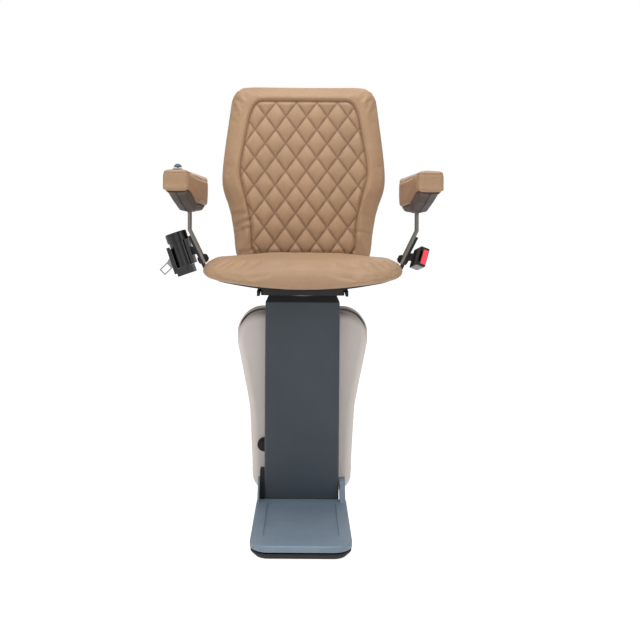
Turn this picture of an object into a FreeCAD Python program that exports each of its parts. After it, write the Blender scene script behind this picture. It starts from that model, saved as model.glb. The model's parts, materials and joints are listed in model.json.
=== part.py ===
import FreeCAD, Part
import math
import os
import re

import Sketcher
from FreeCAD import Placement, Rotation, Vector

doc = FreeCAD.newDocument("stairlift_chair")

# Driving dimensions in millimetres. The frame: X to the viewer's right, the front faces -Y, Z up,
# the origin on the rail's centre plane, midway between its two tubes.
SIZES = {
    "clearance": (0.3, "gap between faces that move past each other"),
    "shaft_clearance": (0.05, "radial gap of a shaft in its hole"),
    "leg_reach": (250, "leg's front plane in front of the rail"),
    "leg_width": (170, "leg, across"),
    "leg_depth": (45, "leg channel, front to back"),
    "leg_wall": (3, "leg sheet"),
    "leg_top": (237, "top edge of the leg"),
    "leg_bottom": (232, "bottom edge of the leg below the origin"),
    "leg_corner": (5, "outer bend of the leg sheet"),
    "cap_height": (16, "leg cap"),
    "cap_taper": (7, "cap side set back at its top"),
    "spine_width": (100, "spine tube, across"),
    "spine_depth": (50, "spine tube, front to back"),
    "spine_wall": (4, "spine tube wall"),
    "post_setback": (32, "swivel axis behind the leg's front plane"),
    "post_radius": (24, "swivel post"),
    "washer_radius": (42, "thrust washer"),
    "washer_thickness": (4.7, "thrust washer"),
    "base_height": (16, "seat base block"),
    "base_width": (184, "seat base block, across"),
    "base_front": (92, "seat base in front of the swivel axis"),
    "base_rear": (98, "seat base behind the swivel axis"),
    "bracket_thickness": (8, "leg bracket plate"),
    "bracket_top": (60, "leg bracket, above the origin"),
    "bracket_bottom": (45, "leg bracket, below the origin"),
    "cover_front": (188, "front face of the front cover, in front of the rail"),
    "cover_split": (122, "joint of the two covers, in front of the rail"),
    "cover_rear": (72, "rear edge of the rear cover, in front of the rail"),
    "cover_wall": (3, "cover moulding"),
    "head_width": (310, "covers, across the head"),
    "head_height": (137, "widest place of the head above the origin"),
    "head_top": (207, "top of the front cover"),
    "dome_top": (213, "top of the rear cover"),
    "waist_width": (250, "covers, across below the head"),
    "waist_drop": (16, "waist below the origin"),
    "foot_width": (234, "covers, across near the bottom"),
    "foot_drop": (185, "start of the bottom corners below the origin"),
    "cover_drop": (218, "bottom of the covers below the origin"),
    "head_round": (62, "corner radius of the head"),
    "foot_round": (38, "corner radius of the bottom"),
    "front_round": (18, "radius round the front cover's face"),
    "chassis_thickness": (8, "chassis plate"),
    "chassis_front": (72, "front face of the chassis plate, in front of the rail"),
    "chassis_width": (210, "chassis plate, across"),
    "chassis_top": (170, "chassis plate above the origin"),
    "chassis_bottom": (170, "chassis plate below the origin"),
    "rail_pitch": (170, "rail tubes, centre to centre"),
    "rail_diameter": (50, "rail tube"),
    "roller_neck": (20, "roller radius in the groove"),
    "roller_width": (44, "roller, along its axle"),
    "roller_spacing": (140, "rollers, centre to centre along the rail"),
    "axle_radius": (8, "roller axle"),
    "axle_head": (12, "axle end flange radius"),
    "axle_head_thickness": (4, "axle end flange"),
    "pinion_teeth": (12, "drive pinion"),
    "pinion_module": (5, "drive pinion"),
    "pinion_width": (22, "drive pinion face"),
    "pinion_height": (25, "pinion axis above the origin"),
    "pinion_shaft": (10, "pinion shaft radius"),
    "gearbox_width": (90, "gearbox, across"),
    "gearbox_depth": (66, "gearbox, front to back"),
    "gearbox_height": (84, "gearbox"),
    "motor_radius": (38, "drive motor"),
    "motor_height": (112, "drive motor"),
    "battery_width": (65, "battery"),
    "battery_depth": (94, "battery"),
    "battery_height": (140, "battery"),
    "board_width": (70, "control board"),
    "board_height": (96, "control board"),
    "switch_left": (88, "main switch, left of the middle"),
    "switch_drop": (104, "main switch below the origin"),
    "switch_radius": (16.5, "main switch bezel"),
    "knob_radius": (11.5, "main switch knob"),
    "screw_radius": (4, "cover screw head"),
    "cover_step": (4, "rear cover stands out past the front cover"),
    "waist_round": (70, "radius where the head narrows"),
    "rear_opening_width": (184, "opening in the back of the rear cover"),
    "rear_opening_height": (380, "opening in the back of the rear cover"),
    "chassis_corner": (24, "chassis plate corners"),
    "roller_radius": (31, "roller rim"),
    "stub": (4, "length of small studs and lands"),
    "bezel_height": (6, "main switch bezel"),
    "knob_height": (9, "main switch knob"),
    "knob_stem": (3, "main switch stem radius"),
    "board_thickness": (2, "control board"),
    "board_gap": (8, "control board in front of the chassis"),
    "screw_up": (76, "upper cover screws above the origin"),
    "screw_down": (28, "lower cover screws below the origin"),
    "ear_right_in": (87, "inner face of the thick footrest ear"),
    "ear_right_out": (99, "outer face of the thick footrest ear"),
    "ear_left_in": (95.5, "inner face of the thin footrest ear"),
    "ear_left_out": (99.5, "outer face of the thin footrest ear"),
    "switch_box_top": (149, "footrest switch box top, below the origin"),
    "switch_box_bottom": (222, "footrest switch box bottom, below the origin"),
    "pad_front": (435, "seat cushion's front edge, in front of the rail"),
    "pad_rear": (65, "seat cushion's rear edge, in front of the rail"),
    "pad_half": (225, "seat cushion, half its greatest width"),
    "pad_crown": (343, "seat cushion's crown above the origin"),
    "pad_side": (330, "seat cushion's top edge at the sides, above the origin"),
    "pad_belly": (280, "seat cushion's underside in the middle, above the origin"),
    "pad_lift": (24, "underside's rise from the middle to the sides"),
    "pan_thickness": (5.2, "seat pan"),
    "pan_margin": (14, "seat pan's edge inside the cushion's"),
    "fold_setback": (88, "seat hinge in front of the rail"),
    "fold_height": (300, "seat hinge above the origin"),
    "fold_pin": (5, "seat hinge pin radius"),
    "lug_in": (188, "inner face of the pan's hinge lug"),
    "lug_thickness": (5, "pan's hinge lug and the frame's ear"),
    "back_front": (37.4, "backrest's front face at its foot, in front of the rail"),
    "back_bottom": (318.2, "backrest's foot above the origin"),
    "back_lean": (7.7, "backrest's lean, degrees"),
    "back_height": (474, "backrest, along its lean"),
    "back_thickness": (50, "backrest cushion"),
    "back_foot_half": (175.4, "backrest half width at its foot"),
    "back_elbow_half": (218.5, "backrest half width at its widest"),
    "back_elbow": (205, "widest place above the foot"),
    "back_top_half": (189, "backrest half width at the top"),
    "back_corner": (38, "backrest top corner radius"),
    "back_edge": (20, "roll of the backrest's front edge"),
    "shell_thickness": (12, "backrest shell"),
    "shell_inset": (12, "backrest shell's edge inside the cushion's"),
    "quilt_half": (166, "quilted panel half width at its widest"),
    "quilt_elbow": (225, "panel's widest place above the foot"),
    "quilt_foot_half": (133, "quilted panel half width at its foot"),
    "quilt_foot": (18, "panel's lower edge above the foot"),
    "quilt_top_half": (104, "quilted panel half width at its top"),
    "quilt_top": (428, "panel's top edge above the foot"),
    "diamond_width": (54, "quilt diamond, across"),
    "diamond_height": (74, "quilt diamond, up"),
    "stitch_depth": (6, "depth of the quilting seams"),
    "stitch_width": (18, "width of the quilting seams' valley"),
    "seam_width": (5, "seam round the panel"),
    "upright_thickness": (8, "back upright plate"),
    "upright_top": (318, "back upright, along the lean above the foot"),
    "arm_across": (275, "arm bar from the middle"),
    "arm_bend": (402, "bend of the arm bar above the origin"),
    "arm_slant": (26.1, "slant of the arm bar's lower part, degrees"),
    "arm_reach": (78, "arm pivot below the bend, along the slant"),
    "arm_tail": (11, "arm bar past its pivot"),
    "arm_thickness": (6, "arm bar and its bracket"),
    "arm_width": (28, "arm bar, front to back"),
    "arm_setback": (144, "arm bar's middle in front of the rail"),
    "arm_pin": (5, "arm pivot bolt radius"),
    "armrest_width": (55.6, "armrest pad, across"),
    "armrest_front": (350, "armrest's front in front of the rail"),
    "armrest_rear": (23, "armrest's rear in front of the rail"),
    "armrest_top": (531, "armrest's top at the front above the origin"),
    "armrest_rise": (7, "armrest's rise to its rear"),
    "armrest_low": (463, "armrest's lower edge at its rear above the origin"),
    "joystick_setback": (318, "joystick in front of the rail"),
    "joystick_plate": (42, "joystick base plate length"),
    "joystick_radius": (9, "joystick knob"),
    "joystick_pivot": (4.2, "joystick's tilt axis above the armrest"),
    "joystick_ball": (2.8, "ball of the joystick's tilt joint, radius"),
    "reel_across": (293, "belt reel's centre from the middle"),
    "reel_height": (345, "belt reel's centre above the origin"),
    "reel_tilt": (19, "belt reel's tilt, degrees"),
    "reel_radius": (23, "belt reel body"),
    "buckle_across": (281, "buckle's centre from the middle"),
    "buckle_height": (342, "buckle's centre above the origin"),
    "buckle_front": (210, "buckle's face in front of the rail"),
    "buckle_tilt": (20, "buckle's tilt, degrees"),
    "buckle_width": (23, "buckle"),
    "buckle_tall": (47, "buckle"),
    "buckle_long": (50, "buckle"),
    "tread_drop": (211, "footplate's tread below the origin"),
    "tread_half": (102, "footplate half width"),
    "tread_front": (508, "footplate's front edge in front of the rail"),
    "tread_rear": (252, "footplate's rear edge in front of the rail"),
    "tread_thickness": (12, "footplate"),
    "tread_corner": (38, "footplate's front corners"),
    "rim_side": (25, "footplate's side rims"),
    "rim_front": (43, "footplate's front rim"),
    "rim_rear": (20, "footplate's rear rim"),
    "floor_depth": (4, "footplate's floor below its rim"),
    "underpan_travel": (3.2, "safety underpan's travel"),
    "underpan_height": (13, "safety underpan"),
    "underpan_taper": (9, "chamfer round the underpan's bottom"),
    "guide_radius": (3, "underpan's guide pins"),
    "tongue_length": (26, "belt tongue's narrow part"),
    "tongue_half": (9.5, "belt tongue's narrow part, half width"),
    "tongue_sheet": (2.5, "belt tongue"),
    "button_travel": (4, "buckle button"),
    "footrest_axle": (5, "footrest axle radius"),
    "footrest_setback": (15, "footrest axle behind the leg's front plane"),
    "footrest_drop": (181, "footrest axle below the origin"),
}
sheet = doc.addObject("Spreadsheet::Sheet", "Sizes")


def fill_sheet(sizes):
    """Writes each size with its alias and its note on a row of the sheet."""
    for row, (alias, (value, note)) in enumerate(sizes.items(), start=1):
        sheet.set("A%d" % row, alias)
        sheet.set("B%d" % row, str(value))
        sheet.setAlias("B%d" % row, alias)
        sheet.set("C%d" % row, note)
    doc.recompute()


def size(alias):
    """The number in the sheet under this alias."""
    return float(sheet.get(alias))


def bound(formula):
    """A formula with every size in it pointed at the sheet."""
    return re.sub("[a-z][a-z_]+", lambda m: "Sizes." + m.group() if m.group() in SIZES else m.group(), formula)


fill_sheet(SIZES)
nodes = {}
ALONG = {
    "x": Rotation(Vector(0, 1, 0), 90),
    "y": Rotation(Vector(1, 0, 0), -90),
    "z": Rotation(),
}


def place(thing, at):
    """Puts an object at a point given by three formulas."""
    for axis, formula in zip("xyz", at):
        thing.setExpression("Placement.Base." + axis, bound(formula))


def block(name, x, y, z):
    """A box between two formulas on each axis."""
    box = doc.addObject("Part::Box", name)
    for side, (low, high) in zip(("Length", "Width", "Height"), (x, y, z)):
        box.setExpression(side, bound("(%s)-(%s)" % (high, low)))
    place(box, (x[0], y[0], z[0]))
    return box


def rod(name, radius, length, at, along="z"):
    """A cylinder from a point along an axis."""
    cylinder = doc.addObject("Part::Cylinder", name)
    cylinder.Placement = Placement(Vector(), ALONG[along])
    cylinder.setExpression("Radius", bound(radius))
    cylinder.setExpression("Height", bound(length))
    place(cylinder, at)
    return cylinder


def cut(name, base, *tools):
    """The base without the tools."""
    for count, tool in enumerate(tools, start=1):
        last = count == len(tools)
        part = doc.addObject("Part::Cut", name if last else "%s_cut_%d" % (name, count))
        part.Base = base
        part.Tool = tool
        base = part
    return base


def fuse(name, *shapes):
    """Several shapes as one."""
    part = doc.addObject("Part::MultiFuse", name)
    part.Shapes = list(shapes)
    return part


def group(name, *shapes):
    """Separate solids kept in one node."""
    part = doc.addObject("Part::Compound", name)
    part.Links = list(shapes)
    return part


def edges_of(shape, wanted):
    """Numbers of the edges that a test picks by their middle and their direction."""
    picked = []
    for number, edge in enumerate(shape.Edges, start=1):
        if edge.Length < 1e-6 or len(edge.Vertexes) < 2:
            continue
        start, end = edge.Vertexes[0].Point, edge.Vertexes[-1].Point
        if wanted((start + end) * 0.5, (end - start).normalize() if start != end else Vector()):
            picked.append(number)
    return picked


def rounded(name, base, radius, wanted):
    """The base with the picked edges rounded."""
    doc.recompute()
    part = doc.addObject("Part::Fillet", name)
    part.Base = base
    part.Edges = [(number, radius, radius) for number in edges_of(base.Shape, wanted)]
    return part


def plane_of(body, role):
    """One of the body's own origin planes."""
    return next(feature for feature in body.Origin.OriginFeatures if feature.Role == role)


def outline(body, name, plane, points, offset="0"):
    """A closed sketch of straight lines, each corner held by two formulas."""
    sketch = body.newObject("Sketcher::SketchObject", name)
    sketch.AttachmentSupport = [(plane_of(body, plane), "")]
    sketch.MapMode = "FlatFace"
    sketch.setExpression("AttachmentOffset.Base.z", bound(offset))
    count = len(points)
    ring = [Vector(100 * math.cos(2 * math.pi * i / count), 100 * math.sin(2 * math.pi * i / count), 0)
            for i in range(count)]
    for i in range(count):
        sketch.addGeometry(Part.LineSegment(ring[i], ring[(i + 1) % count]), False)
    for i in range(count):
        sketch.addConstraint(Sketcher.Constraint("Coincident", i, 2, (i + 1) % count, 1))
    for i, point in enumerate(points):
        for kind, formula in zip(("DistanceX", "DistanceY"), point):
            number = sketch.addConstraint(Sketcher.Constraint(kind, i, 1, 1.0))
            sketch.setExpression("Constraints[%d]" % number, bound(formula))
    return sketch


def plate(name, plane, points, length, offset="0"):
    """A body padded from an outline, along the plane's normal."""
    body = doc.addObject("PartDesign::Body", name)
    pad = body.newObject("PartDesign::Pad", name + "_pad")
    pad.Profile = outline(body, name + "_outline", plane, points, offset)
    pad.setExpression("Length", bound(length))
    return body


def turned(name, points, cut_points=None):
    """A body revolved about the Y axis from an outline in the XY plane (radius, place along Y)."""
    body = doc.addObject("PartDesign::Body", name)
    turn = body.newObject("PartDesign::Revolution", name + "_turn")
    sketch = outline(body, name + "_outline", "XY_Plane", points)
    turn.Profile = sketch
    turn.ReferenceAxis = (sketch, ["V_Axis"])
    turn.Angle = 360
    return body


def soften(body, name, feature, radius, wanted):
    """A fillet or chamfer on the picked edges of the body's last feature."""
    doc.recompute()
    base = body.Tip
    edges = ["Edge%d" % number for number in edges_of(base.Shape, wanted)]
    part = body.newObject("PartDesign::" + feature, name)
    part.Base = (base, edges)
    part.setExpression("Radius" if feature == "Fillet" else "Size", bound(radius))
    return part


def along(axis):
    """A test for edges that run along one axis."""
    return lambda middle, way: abs(getattr(way, axis)) > 0.999


def both(low, high=None):
    """A span from minus to plus a formula."""
    return ("-(%s)" % low, high or low)


# Leg channel: a folded sheet, open at the rear
leg_x = both("leg_width/2")
leg_y = ("-leg_reach", "-leg_reach+leg_depth")
leg_z = ("-leg_bottom", "leg_top")
leg_blank = rounded("leg_blank", block("leg_block", leg_x, leg_y, leg_z), size("leg_corner"),
                    lambda middle, way: abs(way.z) > 0.999 and middle.y < -size("leg_reach") + 1)
leg_inside = block("leg_inside", both("leg_width/2-leg_wall"),
                   ("-leg_reach+leg_wall", "-leg_reach+leg_depth+1"), ("-leg_bottom-1", "leg_top+1"))
axle_gap = rod("leg_axle_gap", "footrest_axle+shaft_clearance", "leg_width+2",
               ("-leg_width/2-1", "-leg_reach+footrest_setback", "-footrest_drop"), "x")
nodes["leg_column"] = cut("leg_column", leg_blank, leg_inside, axle_gap)

# Spine tube inside the channel, with the swivel post welded on top
spine_y = ("-leg_reach+leg_wall", "-leg_reach+leg_wall+spine_depth")
spine_out = block("spine_outside", both("spine_width/2"), spine_y, ("-leg_bottom+70", "leg_top"))
spine_in = block("spine_inside", both("spine_width/2-spine_wall"),
                 ("-leg_reach+leg_wall+spine_wall", "-leg_reach+leg_wall+spine_depth-spine_wall"),
                 ("-leg_bottom+69", "leg_top-spine_wall*2"))
post = rod("post", "post_radius", "cap_height+washer_thickness+clearance+base_height-2",
           ("0", "-leg_reach+post_setback", "leg_top"))
nodes["spine"] = fuse("spine", cut("spine_tube", spine_out, spine_in), post)

# Black cap on the leg, bored for the post
cap = doc.addObject("Part::Wedge", "cap_blank")
cap.Placement = Placement(Vector(), Rotation(Vector(1, 0, 0), 90))
for side, formula in (("Xmin", "-leg_width/2"), ("Xmax", "leg_width/2"), ("Ymin", "leg_top"),
                      ("Ymax", "leg_top+cap_height"), ("Zmin", "leg_reach-post_setback-post_radius-8"),
                      ("Zmax", "leg_reach"), ("X2min", "-leg_width/2+cap_taper"),
                      ("X2max", "leg_width/2-cap_taper"), ("Z2min", "leg_reach-post_setback-post_radius-4"),
                      ("Z2max", "leg_reach-cap_taper/2")):
    cap.setExpression(side, bound(formula))
cap_bore = rod("cap_bore", "post_radius+clearance", "cap_height+2",
               ("0", "-leg_reach+post_setback", "leg_top-1"))
nodes["leg_cap"] = cut("leg_cap", cap, cap_bore)
washer = rod("washer_disc", "washer_radius", "washer_thickness",
             ("0", "-leg_reach+post_setback", "leg_top+cap_height"))
washer_bore = rod("washer_bore", "post_radius+clearance", "washer_thickness+2",
                  ("0", "-leg_reach+post_setback", "leg_top+cap_height-1"))
nodes["thrust_washer"] = cut("thrust_washer", washer, washer_bore)

# Two plates that carry the leg from the chassis, through slots in the front cover
bracket_plates = []
for side, name in ((-1, "left"), (1, "right")):
    near = "%d*(spine_width/2)" % side
    far = "%d*(spine_width/2+bracket_thickness)" % side
    span = (near, far) if side > 0 else (far, near)
    bracket_plates.append(plate("leg_bracket_" + name, "YZ_Plane", (
        ("-leg_reach+leg_wall+6", "-bracket_bottom+30"), ("-cover_front+10", "-bracket_bottom"),
        ("-chassis_front", "-bracket_bottom"), ("-chassis_front", "bracket_top"),
        ("-cover_front+10", "bracket_top"), ("-leg_reach+leg_wall+6", "bracket_top-30")),
        "bracket_thickness", span[0]))
nodes["leg_brackets"] = group("leg_brackets", *bracket_plates)


def cover_outline(top, step):
    """The covers' outline: a broad round head that narrows to the foot."""
    right = (("head_width/2+%s" % step, top), ("head_width/2+%s" % step, "head_height"),
             ("waist_width/2+%s" % step, "-waist_drop"), ("foot_width/2+%s" % step, "-foot_drop+20"),
             ("foot_width/2+%s" % step, "-cover_drop-%s" % step))
    left = tuple(("-(%s)" % across, up) for across, up in reversed(right))
    return right + left


def cover_body(name, top, step, front, rear):
    """A cover blank with its corners rounded in the outline's plane."""
    body = plate(name, "XZ_Plane", cover_outline(top, step), "%s-%s" % (front, rear), rear)
    for corner, radius, low, high in (("head", "head_round", size("head_height") + 30, 999),
                                      ("brow", "waist_round", size("head_height") - 5, size("head_height") + 5),
                                      ("waist", "waist_round*3", -size("waist_drop") - 5, -size("waist_drop") + 5),
                                      ("foot", "foot_round", -999, -size("foot_drop") - 10)):
        soften(body, name + "_" + corner, "Fillet", radius,
               lambda middle, way: abs(way.y) > 0.999 and low < middle.z < high)
    return body


# Front cover: a deep moulding with a rounded face, slots for the leg brackets and a hole for the switch
front = cover_body("front_cover_shell", "head_top", "0", "cover_front", "cover_split")
soften(front, "front_cover_face", "Fillet", "front_round",
       lambda middle, way: middle.y < -size("cover_front") + 1e-3)
doc.recompute()


def face_at(shape, y):
    """Name of the flat face that lies at one place along Y."""
    for number, face in enumerate(shape.Faces, start=1):
        if abs(face.CenterOfMass.y - y) < 1e-3 and face.BoundBox.YLength < 1e-3:
            return "Face%d" % number
    raise ValueError("no face there")


def hollow(body, name, y):
    """Leaves the cover's wall only, open at the face at this place."""
    doc.recompute()
    base = body.Tip
    shell = body.newObject("PartDesign::Thickness", name)
    shell.Base = (base, [face_at(base.Shape, y)])
    shell.setExpression("Value", bound("cover_wall"))
    shell.Mode = 0
    shell.Join = 0
    shell.Reversed = True
    return shell


hollow(front, "front_cover_wall", -size("cover_split"))
slots = [block("slot_" + name, ("%d*(spine_width/2+bracket_thickness/2)-bracket_thickness/2-1" % side,
                                "%d*(spine_width/2+bracket_thickness/2)+bracket_thickness/2+1" % side),
               ("-cover_front-1", "-cover_front+cover_wall+8"), ("-bracket_bottom-1", "bracket_top+1"))
         for side, name in ((-1, "left"), (1, "right"))]
switch_at = ("-switch_left", "-cover_front-1", "-switch_drop")
switch_hole = rod("switch_hole", "knob_stem+shaft_clearance", "cover_wall+2", switch_at, "y")
nodes["front_cover"] = cut("front_cover", front, *slots, switch_hole)

# Rear cover: its dome stands above the front one, and its back is open round the chassis
rear = cover_body("rear_cover_shell", "dome_top", "cover_step", "cover_split", "cover_rear")
soften(rear, "rear_cover_face", "Fillet", "front_round/2",
       lambda middle, way: middle.y > -size("cover_rear") - 1e-3)
hollow(rear, "rear_cover_wall", -size("cover_split"))
back_hole = block("back_hole", both("rear_opening_width/2"), ("-cover_rear-cover_wall-1", "-cover_rear+1"),
                  both("rear_opening_height/2"))
screws = []
for side, name in ((-1, "left"), (1, "right")):
    for up, row in (("screw_up", "upper"), ("-screw_down", "lower")):
        across = "(waist_width/2+cover_step+(head_width-waist_width)/2*(%s+waist_drop)/(head_height+waist_drop))" % up
        start = "%d*%s-%d*stub" % (side, across, 1 if side > 0 else 0)
        screws.append(rod("screw_%s_%s" % (name, row), "screw_radius", "stub+1.5",
                          (start + ("" if side > 0 else "-1.5"), "-(cover_split+cover_rear)/2", up), "x"))
screw_set = group("cover_screws", *screws)
nodes["cover_screws"] = screw_set
nodes["rear_cover"] = cut("rear_cover", rear, back_hole, *screws)

# Chassis plate with bores for the roller axles and the pinion shaft
half_width, half_height = "chassis_width/2", "chassis_top"
chassis = plate("chassis_blank", "XZ_Plane", (("chassis_width/2", "-chassis_bottom"), ("chassis_width/2", "chassis_top"),
                ("-chassis_width/2", "chassis_top"), ("-chassis_width/2", "-chassis_bottom")),
                "chassis_thickness", "chassis_front-chassis_thickness")
soften(chassis, "chassis_corners", "Fillet", "chassis_corner", along("y"))
ROLLERS = {}
for up, row in ((1, "upper"), (-1, "lower")):
    for side, name in ((-1, "left"), (1, "right")):
        ROLLERS["%s_%s" % (row, name)] = ("%d*roller_spacing/2" % side,
                                         "%d*(rail_pitch/2+rail_diameter/2+clearance+roller_neck)" % up)
bores = [rod("axle_bore_" + key, "axle_radius+shaft_clearance", "chassis_thickness+2",
             (across, "-chassis_front-1", high), "y") for key, (across, high) in ROLLERS.items()]
shaft_bore = rod("shaft_bore", "pinion_shaft+shaft_clearance", "chassis_thickness+2",
                 ("0", "-chassis_front-1", "pinion_height"), "y")
nodes["chassis_plate"] = cut("chassis_plate", chassis, shaft_bore, *bores)

# Roller axles, each with a collar on the chassis side and a head outside
axles = []
for key, (across, high) in ROLLERS.items():
    stem = rod("axle_stem_" + key, "axle_radius", "chassis_front+roller_width/2+clearance+axle_head_thickness",
               (across, "-chassis_front", high), "y")
    collar = rod("axle_collar_" + key, "axle_head",
                 "chassis_front-chassis_thickness-roller_width/2-clearance",
                 (across, "-chassis_front+chassis_thickness", high), "y")
    head = rod("axle_head_" + key, "axle_head", "axle_head_thickness",
               (across, "roller_width/2+clearance", high), "y")
    axles.append(fuse("axle_" + key, stem, collar, head))
nodes["roller_axles"] = group("roller_axles", *axles)

# Rail rollers, grooved to the rail's tube
for key, (across, high) in ROLLERS.items():
    blank = rod("roller_blank_" + key, "roller_radius", "roller_width", (across, "-roller_width/2", high), "y")
    groove = doc.addObject("Part::Torus", "roller_groove_" + key)
    groove.Placement = Placement(Vector(), ALONG["y"])
    groove.setExpression("Radius1", bound("roller_neck+clearance+rail_diameter/2"))
    groove.setExpression("Radius2", bound("rail_diameter/2+clearance"))
    place(groove, (across, "0", high))
    bore = rod("roller_bore_" + key, "axle_radius+shaft_clearance", "roller_width+2",
               (across, "-roller_width/2-1", high), "y")
    nodes["roller_" + key] = cut("roller_" + key, blank, groove, bore)

# Drive pinion on its shaft, to run in the rail's rack
teeth = int(size("pinion_teeth"))
tooth_points = []
for tooth in range(teeth):
    for share, radius in ((-0.32, "-1.2"), (-0.12, "+1"), (0.12, "+1"), (0.32, "-1.2")):
        angle = 360.0 * (tooth + share) / teeth
        reach = "pinion_module*(pinion_teeth/2%s)" % radius
        tooth_points.append(("%s*cos(%.4f)" % (reach, angle), "pinion_height+%s*sin(%.4f)" % (reach, angle)))
gear = plate("pinion_gear", "XZ_Plane", tooth_points, "pinion_width", "-pinion_width/2")
shaft = rod("pinion_shaft_rod", "pinion_shaft", "chassis_front+16+pinion_width/2+stub",
            ("0", "-chassis_front-16", "pinion_height"), "y")
nodes["drive_pinion"] = fuse("drive_pinion", gear, shaft)

# Gearbox and motor on the chassis
gearbox = rounded("gearbox_blank", block("gearbox_block", both("gearbox_width/2"),
                  ("-chassis_front-gearbox_depth", "-chassis_front"),
                  ("pinion_height-gearbox_height/2", "pinion_height+gearbox_height/2")), 8,
                  lambda middle, way: middle.y < -size("chassis_front") - 5)
socket = rod("gearbox_socket", "pinion_shaft+shaft_clearance", "18", ("0", "-chassis_front-17", "pinion_height"), "y")
nodes["gearbox"] = cut("gearbox", gearbox, socket)
motor_at = ("0", "-chassis_front-motor_radius-2", "pinion_height+gearbox_height/2")
can = rod("motor_can", "motor_radius", "motor_height-14", motor_at)
bell = rod("motor_bell", "motor_radius-4", "14", (motor_at[0], motor_at[1], motor_at[2] + "+motor_height-14"))
nodes["drive_motor"] = fuse("drive_motor", can, bell)

# Two batteries below, the control board beside the motor
cells = [block("battery_" + name, ("%s" % low, "%s" % high), ("-chassis_front-battery_depth", "-chassis_front"),
               ("-cover_drop+30", "-cover_drop+30+battery_height"))
         for name, low, high in (("left", "-4-battery_width", "-4"), ("right", "4", "4+battery_width"))]
nodes["batteries"] = group("batteries", *cells)
board_x = ("-motor_radius-6-board_width", "-motor_radius-6")
board_y = "-chassis_front-board_gap"
board = block("board_sheet", board_x, (board_y + "-board_thickness", board_y), ("70", "70+board_height"))
posts = [rod("board_post_%s_%s" % (column, row), "2.5", "board_gap", (across, board_y, high), "y")
         for column, across in (("a", board_x[0] + "+26"), ("b", board_x[1] + "-5"))
         for row, high in (("a", "75"), ("b", "65+board_height"))]
sink = block("board_heat_sink", (board_x[0] + "+18", board_x[1] + "-16"),
             (board_y + "-board_thickness-22", board_y + "-board_thickness"), ("90", "120"))
nodes["control_board"] = fuse("control_board", board, sink, *posts)

# Main switch: a bezel ring on the cover and the turning knob in it
bezel = rod("bezel_disc", "switch_radius", "bezel_height",
            ("-switch_left", "-cover_front-bezel_height", "-switch_drop"), "y")
well = rod("bezel_well", "knob_radius+clearance", "bezel_height", ("-switch_left", "-cover_front-bezel_height-2",
                                                                  "-switch_drop"), "y")
stem_hole = rod("bezel_stem_hole", "knob_stem+shaft_clearance", "bezel_height+2",
                ("-switch_left", "-cover_front-bezel_height-1", "-switch_drop"), "y")
nodes["switch_bezel"] = cut("switch_bezel", bezel, well, stem_hole)
knob = rod("knob_disc", "knob_radius", "knob_height",
           ("-switch_left", "-cover_front-2-clearance-knob_height", "-switch_drop"), "y")
knob_stem = rod("knob_stem_rod", "knob_stem", "cover_wall+8",
                ("-switch_left", "-cover_front-4-clearance", "-switch_drop"), "y")
grip = block("knob_grip", ("-switch_left-2.5", "-switch_left+2.5"),
             ("-cover_front-2-clearance-knob_height-3", "-cover_front-2-clearance-knob_height"),
             ("-switch_drop-knob_radius+1", "-switch_drop+knob_radius-1"))
nodes["switch_knob"] = fuse("switch_knob", knob, knob_stem, grip)

# Footrest axle through the leg, and the black switch box on the leg's left side
nodes["footrest_axle"] = rod("footrest_axle", "footrest_axle", "ear_left_out+ear_right_out",
                             ("-ear_left_out", "-leg_reach+footrest_setback", "-footrest_drop"), "x")
box = rounded("switch_box_blank", block("switch_box_block", ("-ear_left_in+clearance", "-leg_width/2"),
              ("-leg_reach+6", "-leg_reach+leg_depth-8"), ("-switch_box_bottom", "-switch_box_top")), 3,
              lambda middle, way: abs(way.x) > 0.999)
box_bore = rod("switch_box_bore", "footrest_axle+shaft_clearance", "20",
               ("-leg_width/2-15", "-leg_reach+footrest_setback", "-footrest_drop"), "x")
nodes["footrest_switch"] = cut("footrest_switch", box, box_bore)

# Seat base: a block that turns on the post
base_low = "leg_top+cap_height+washer_thickness+clearance"
base_z = (base_low, base_low + "+base_height")
base_blank = rounded("base_blank", block("base_block", both("base_width/2"),
                     ("-leg_reach+post_setback-base_front", "-leg_reach+post_setback+base_rear"), base_z), 6,
                     lambda middle, way: abs(way.z) > 0.999)
base_bore = rod("base_bore", "post_radius+shaft_clearance", "base_height-2+clearance+1",
                ("0", "-leg_reach+post_setback", base_low + "-1"))
lever_pivots = []
lever_y, lever_z = "-leg_reach+post_setback-base_front+40", base_low + "+8"
for side, name in ((-1, "left"), (1, "right")):
    start = "base_width/2" if side > 0 else "-base_width/2-9"
    lever_pivots.append(rod("lever_stub_" + name, "stub", "9", (start, lever_y, lever_z), "x"))
nodes["seat_base"] = fuse("seat_base", cut("base_bored", base_blank, base_bore), *lever_pivots)

# Swivel release levers on the two sides of the base
for side, name in ((-1, "left"), (1, "right")):
    start = "base_width/2+3.2" if side > 0 else "-base_width/2-8.7"
    lever = plate("lever_plate_" + name, "YZ_Plane", (
        (lever_y + "-42", base_low + "-2"), (lever_y + "-26", base_low + "-2"), (lever_y + "+9", base_low + "+2"),
        (lever_y + "+9", base_low + "+13"), (lever_y + "-42", base_low + "+10")), "5.5", start)
    soften(lever, "lever_round_" + name, "Fillet", "2", along("x"))
    bore = rod("lever_bore_" + name, "stub+shaft_clearance", "12", (start + "-3", lever_y, lever_z), "x")
    nodes["swivel_lever_" + name] = cut("swivel_lever_" + name, lever, bore)


def arc(start, middle, end):
    """An arc through three points."""
    return Part.Arc(start, middle, end).toShape()


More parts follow.
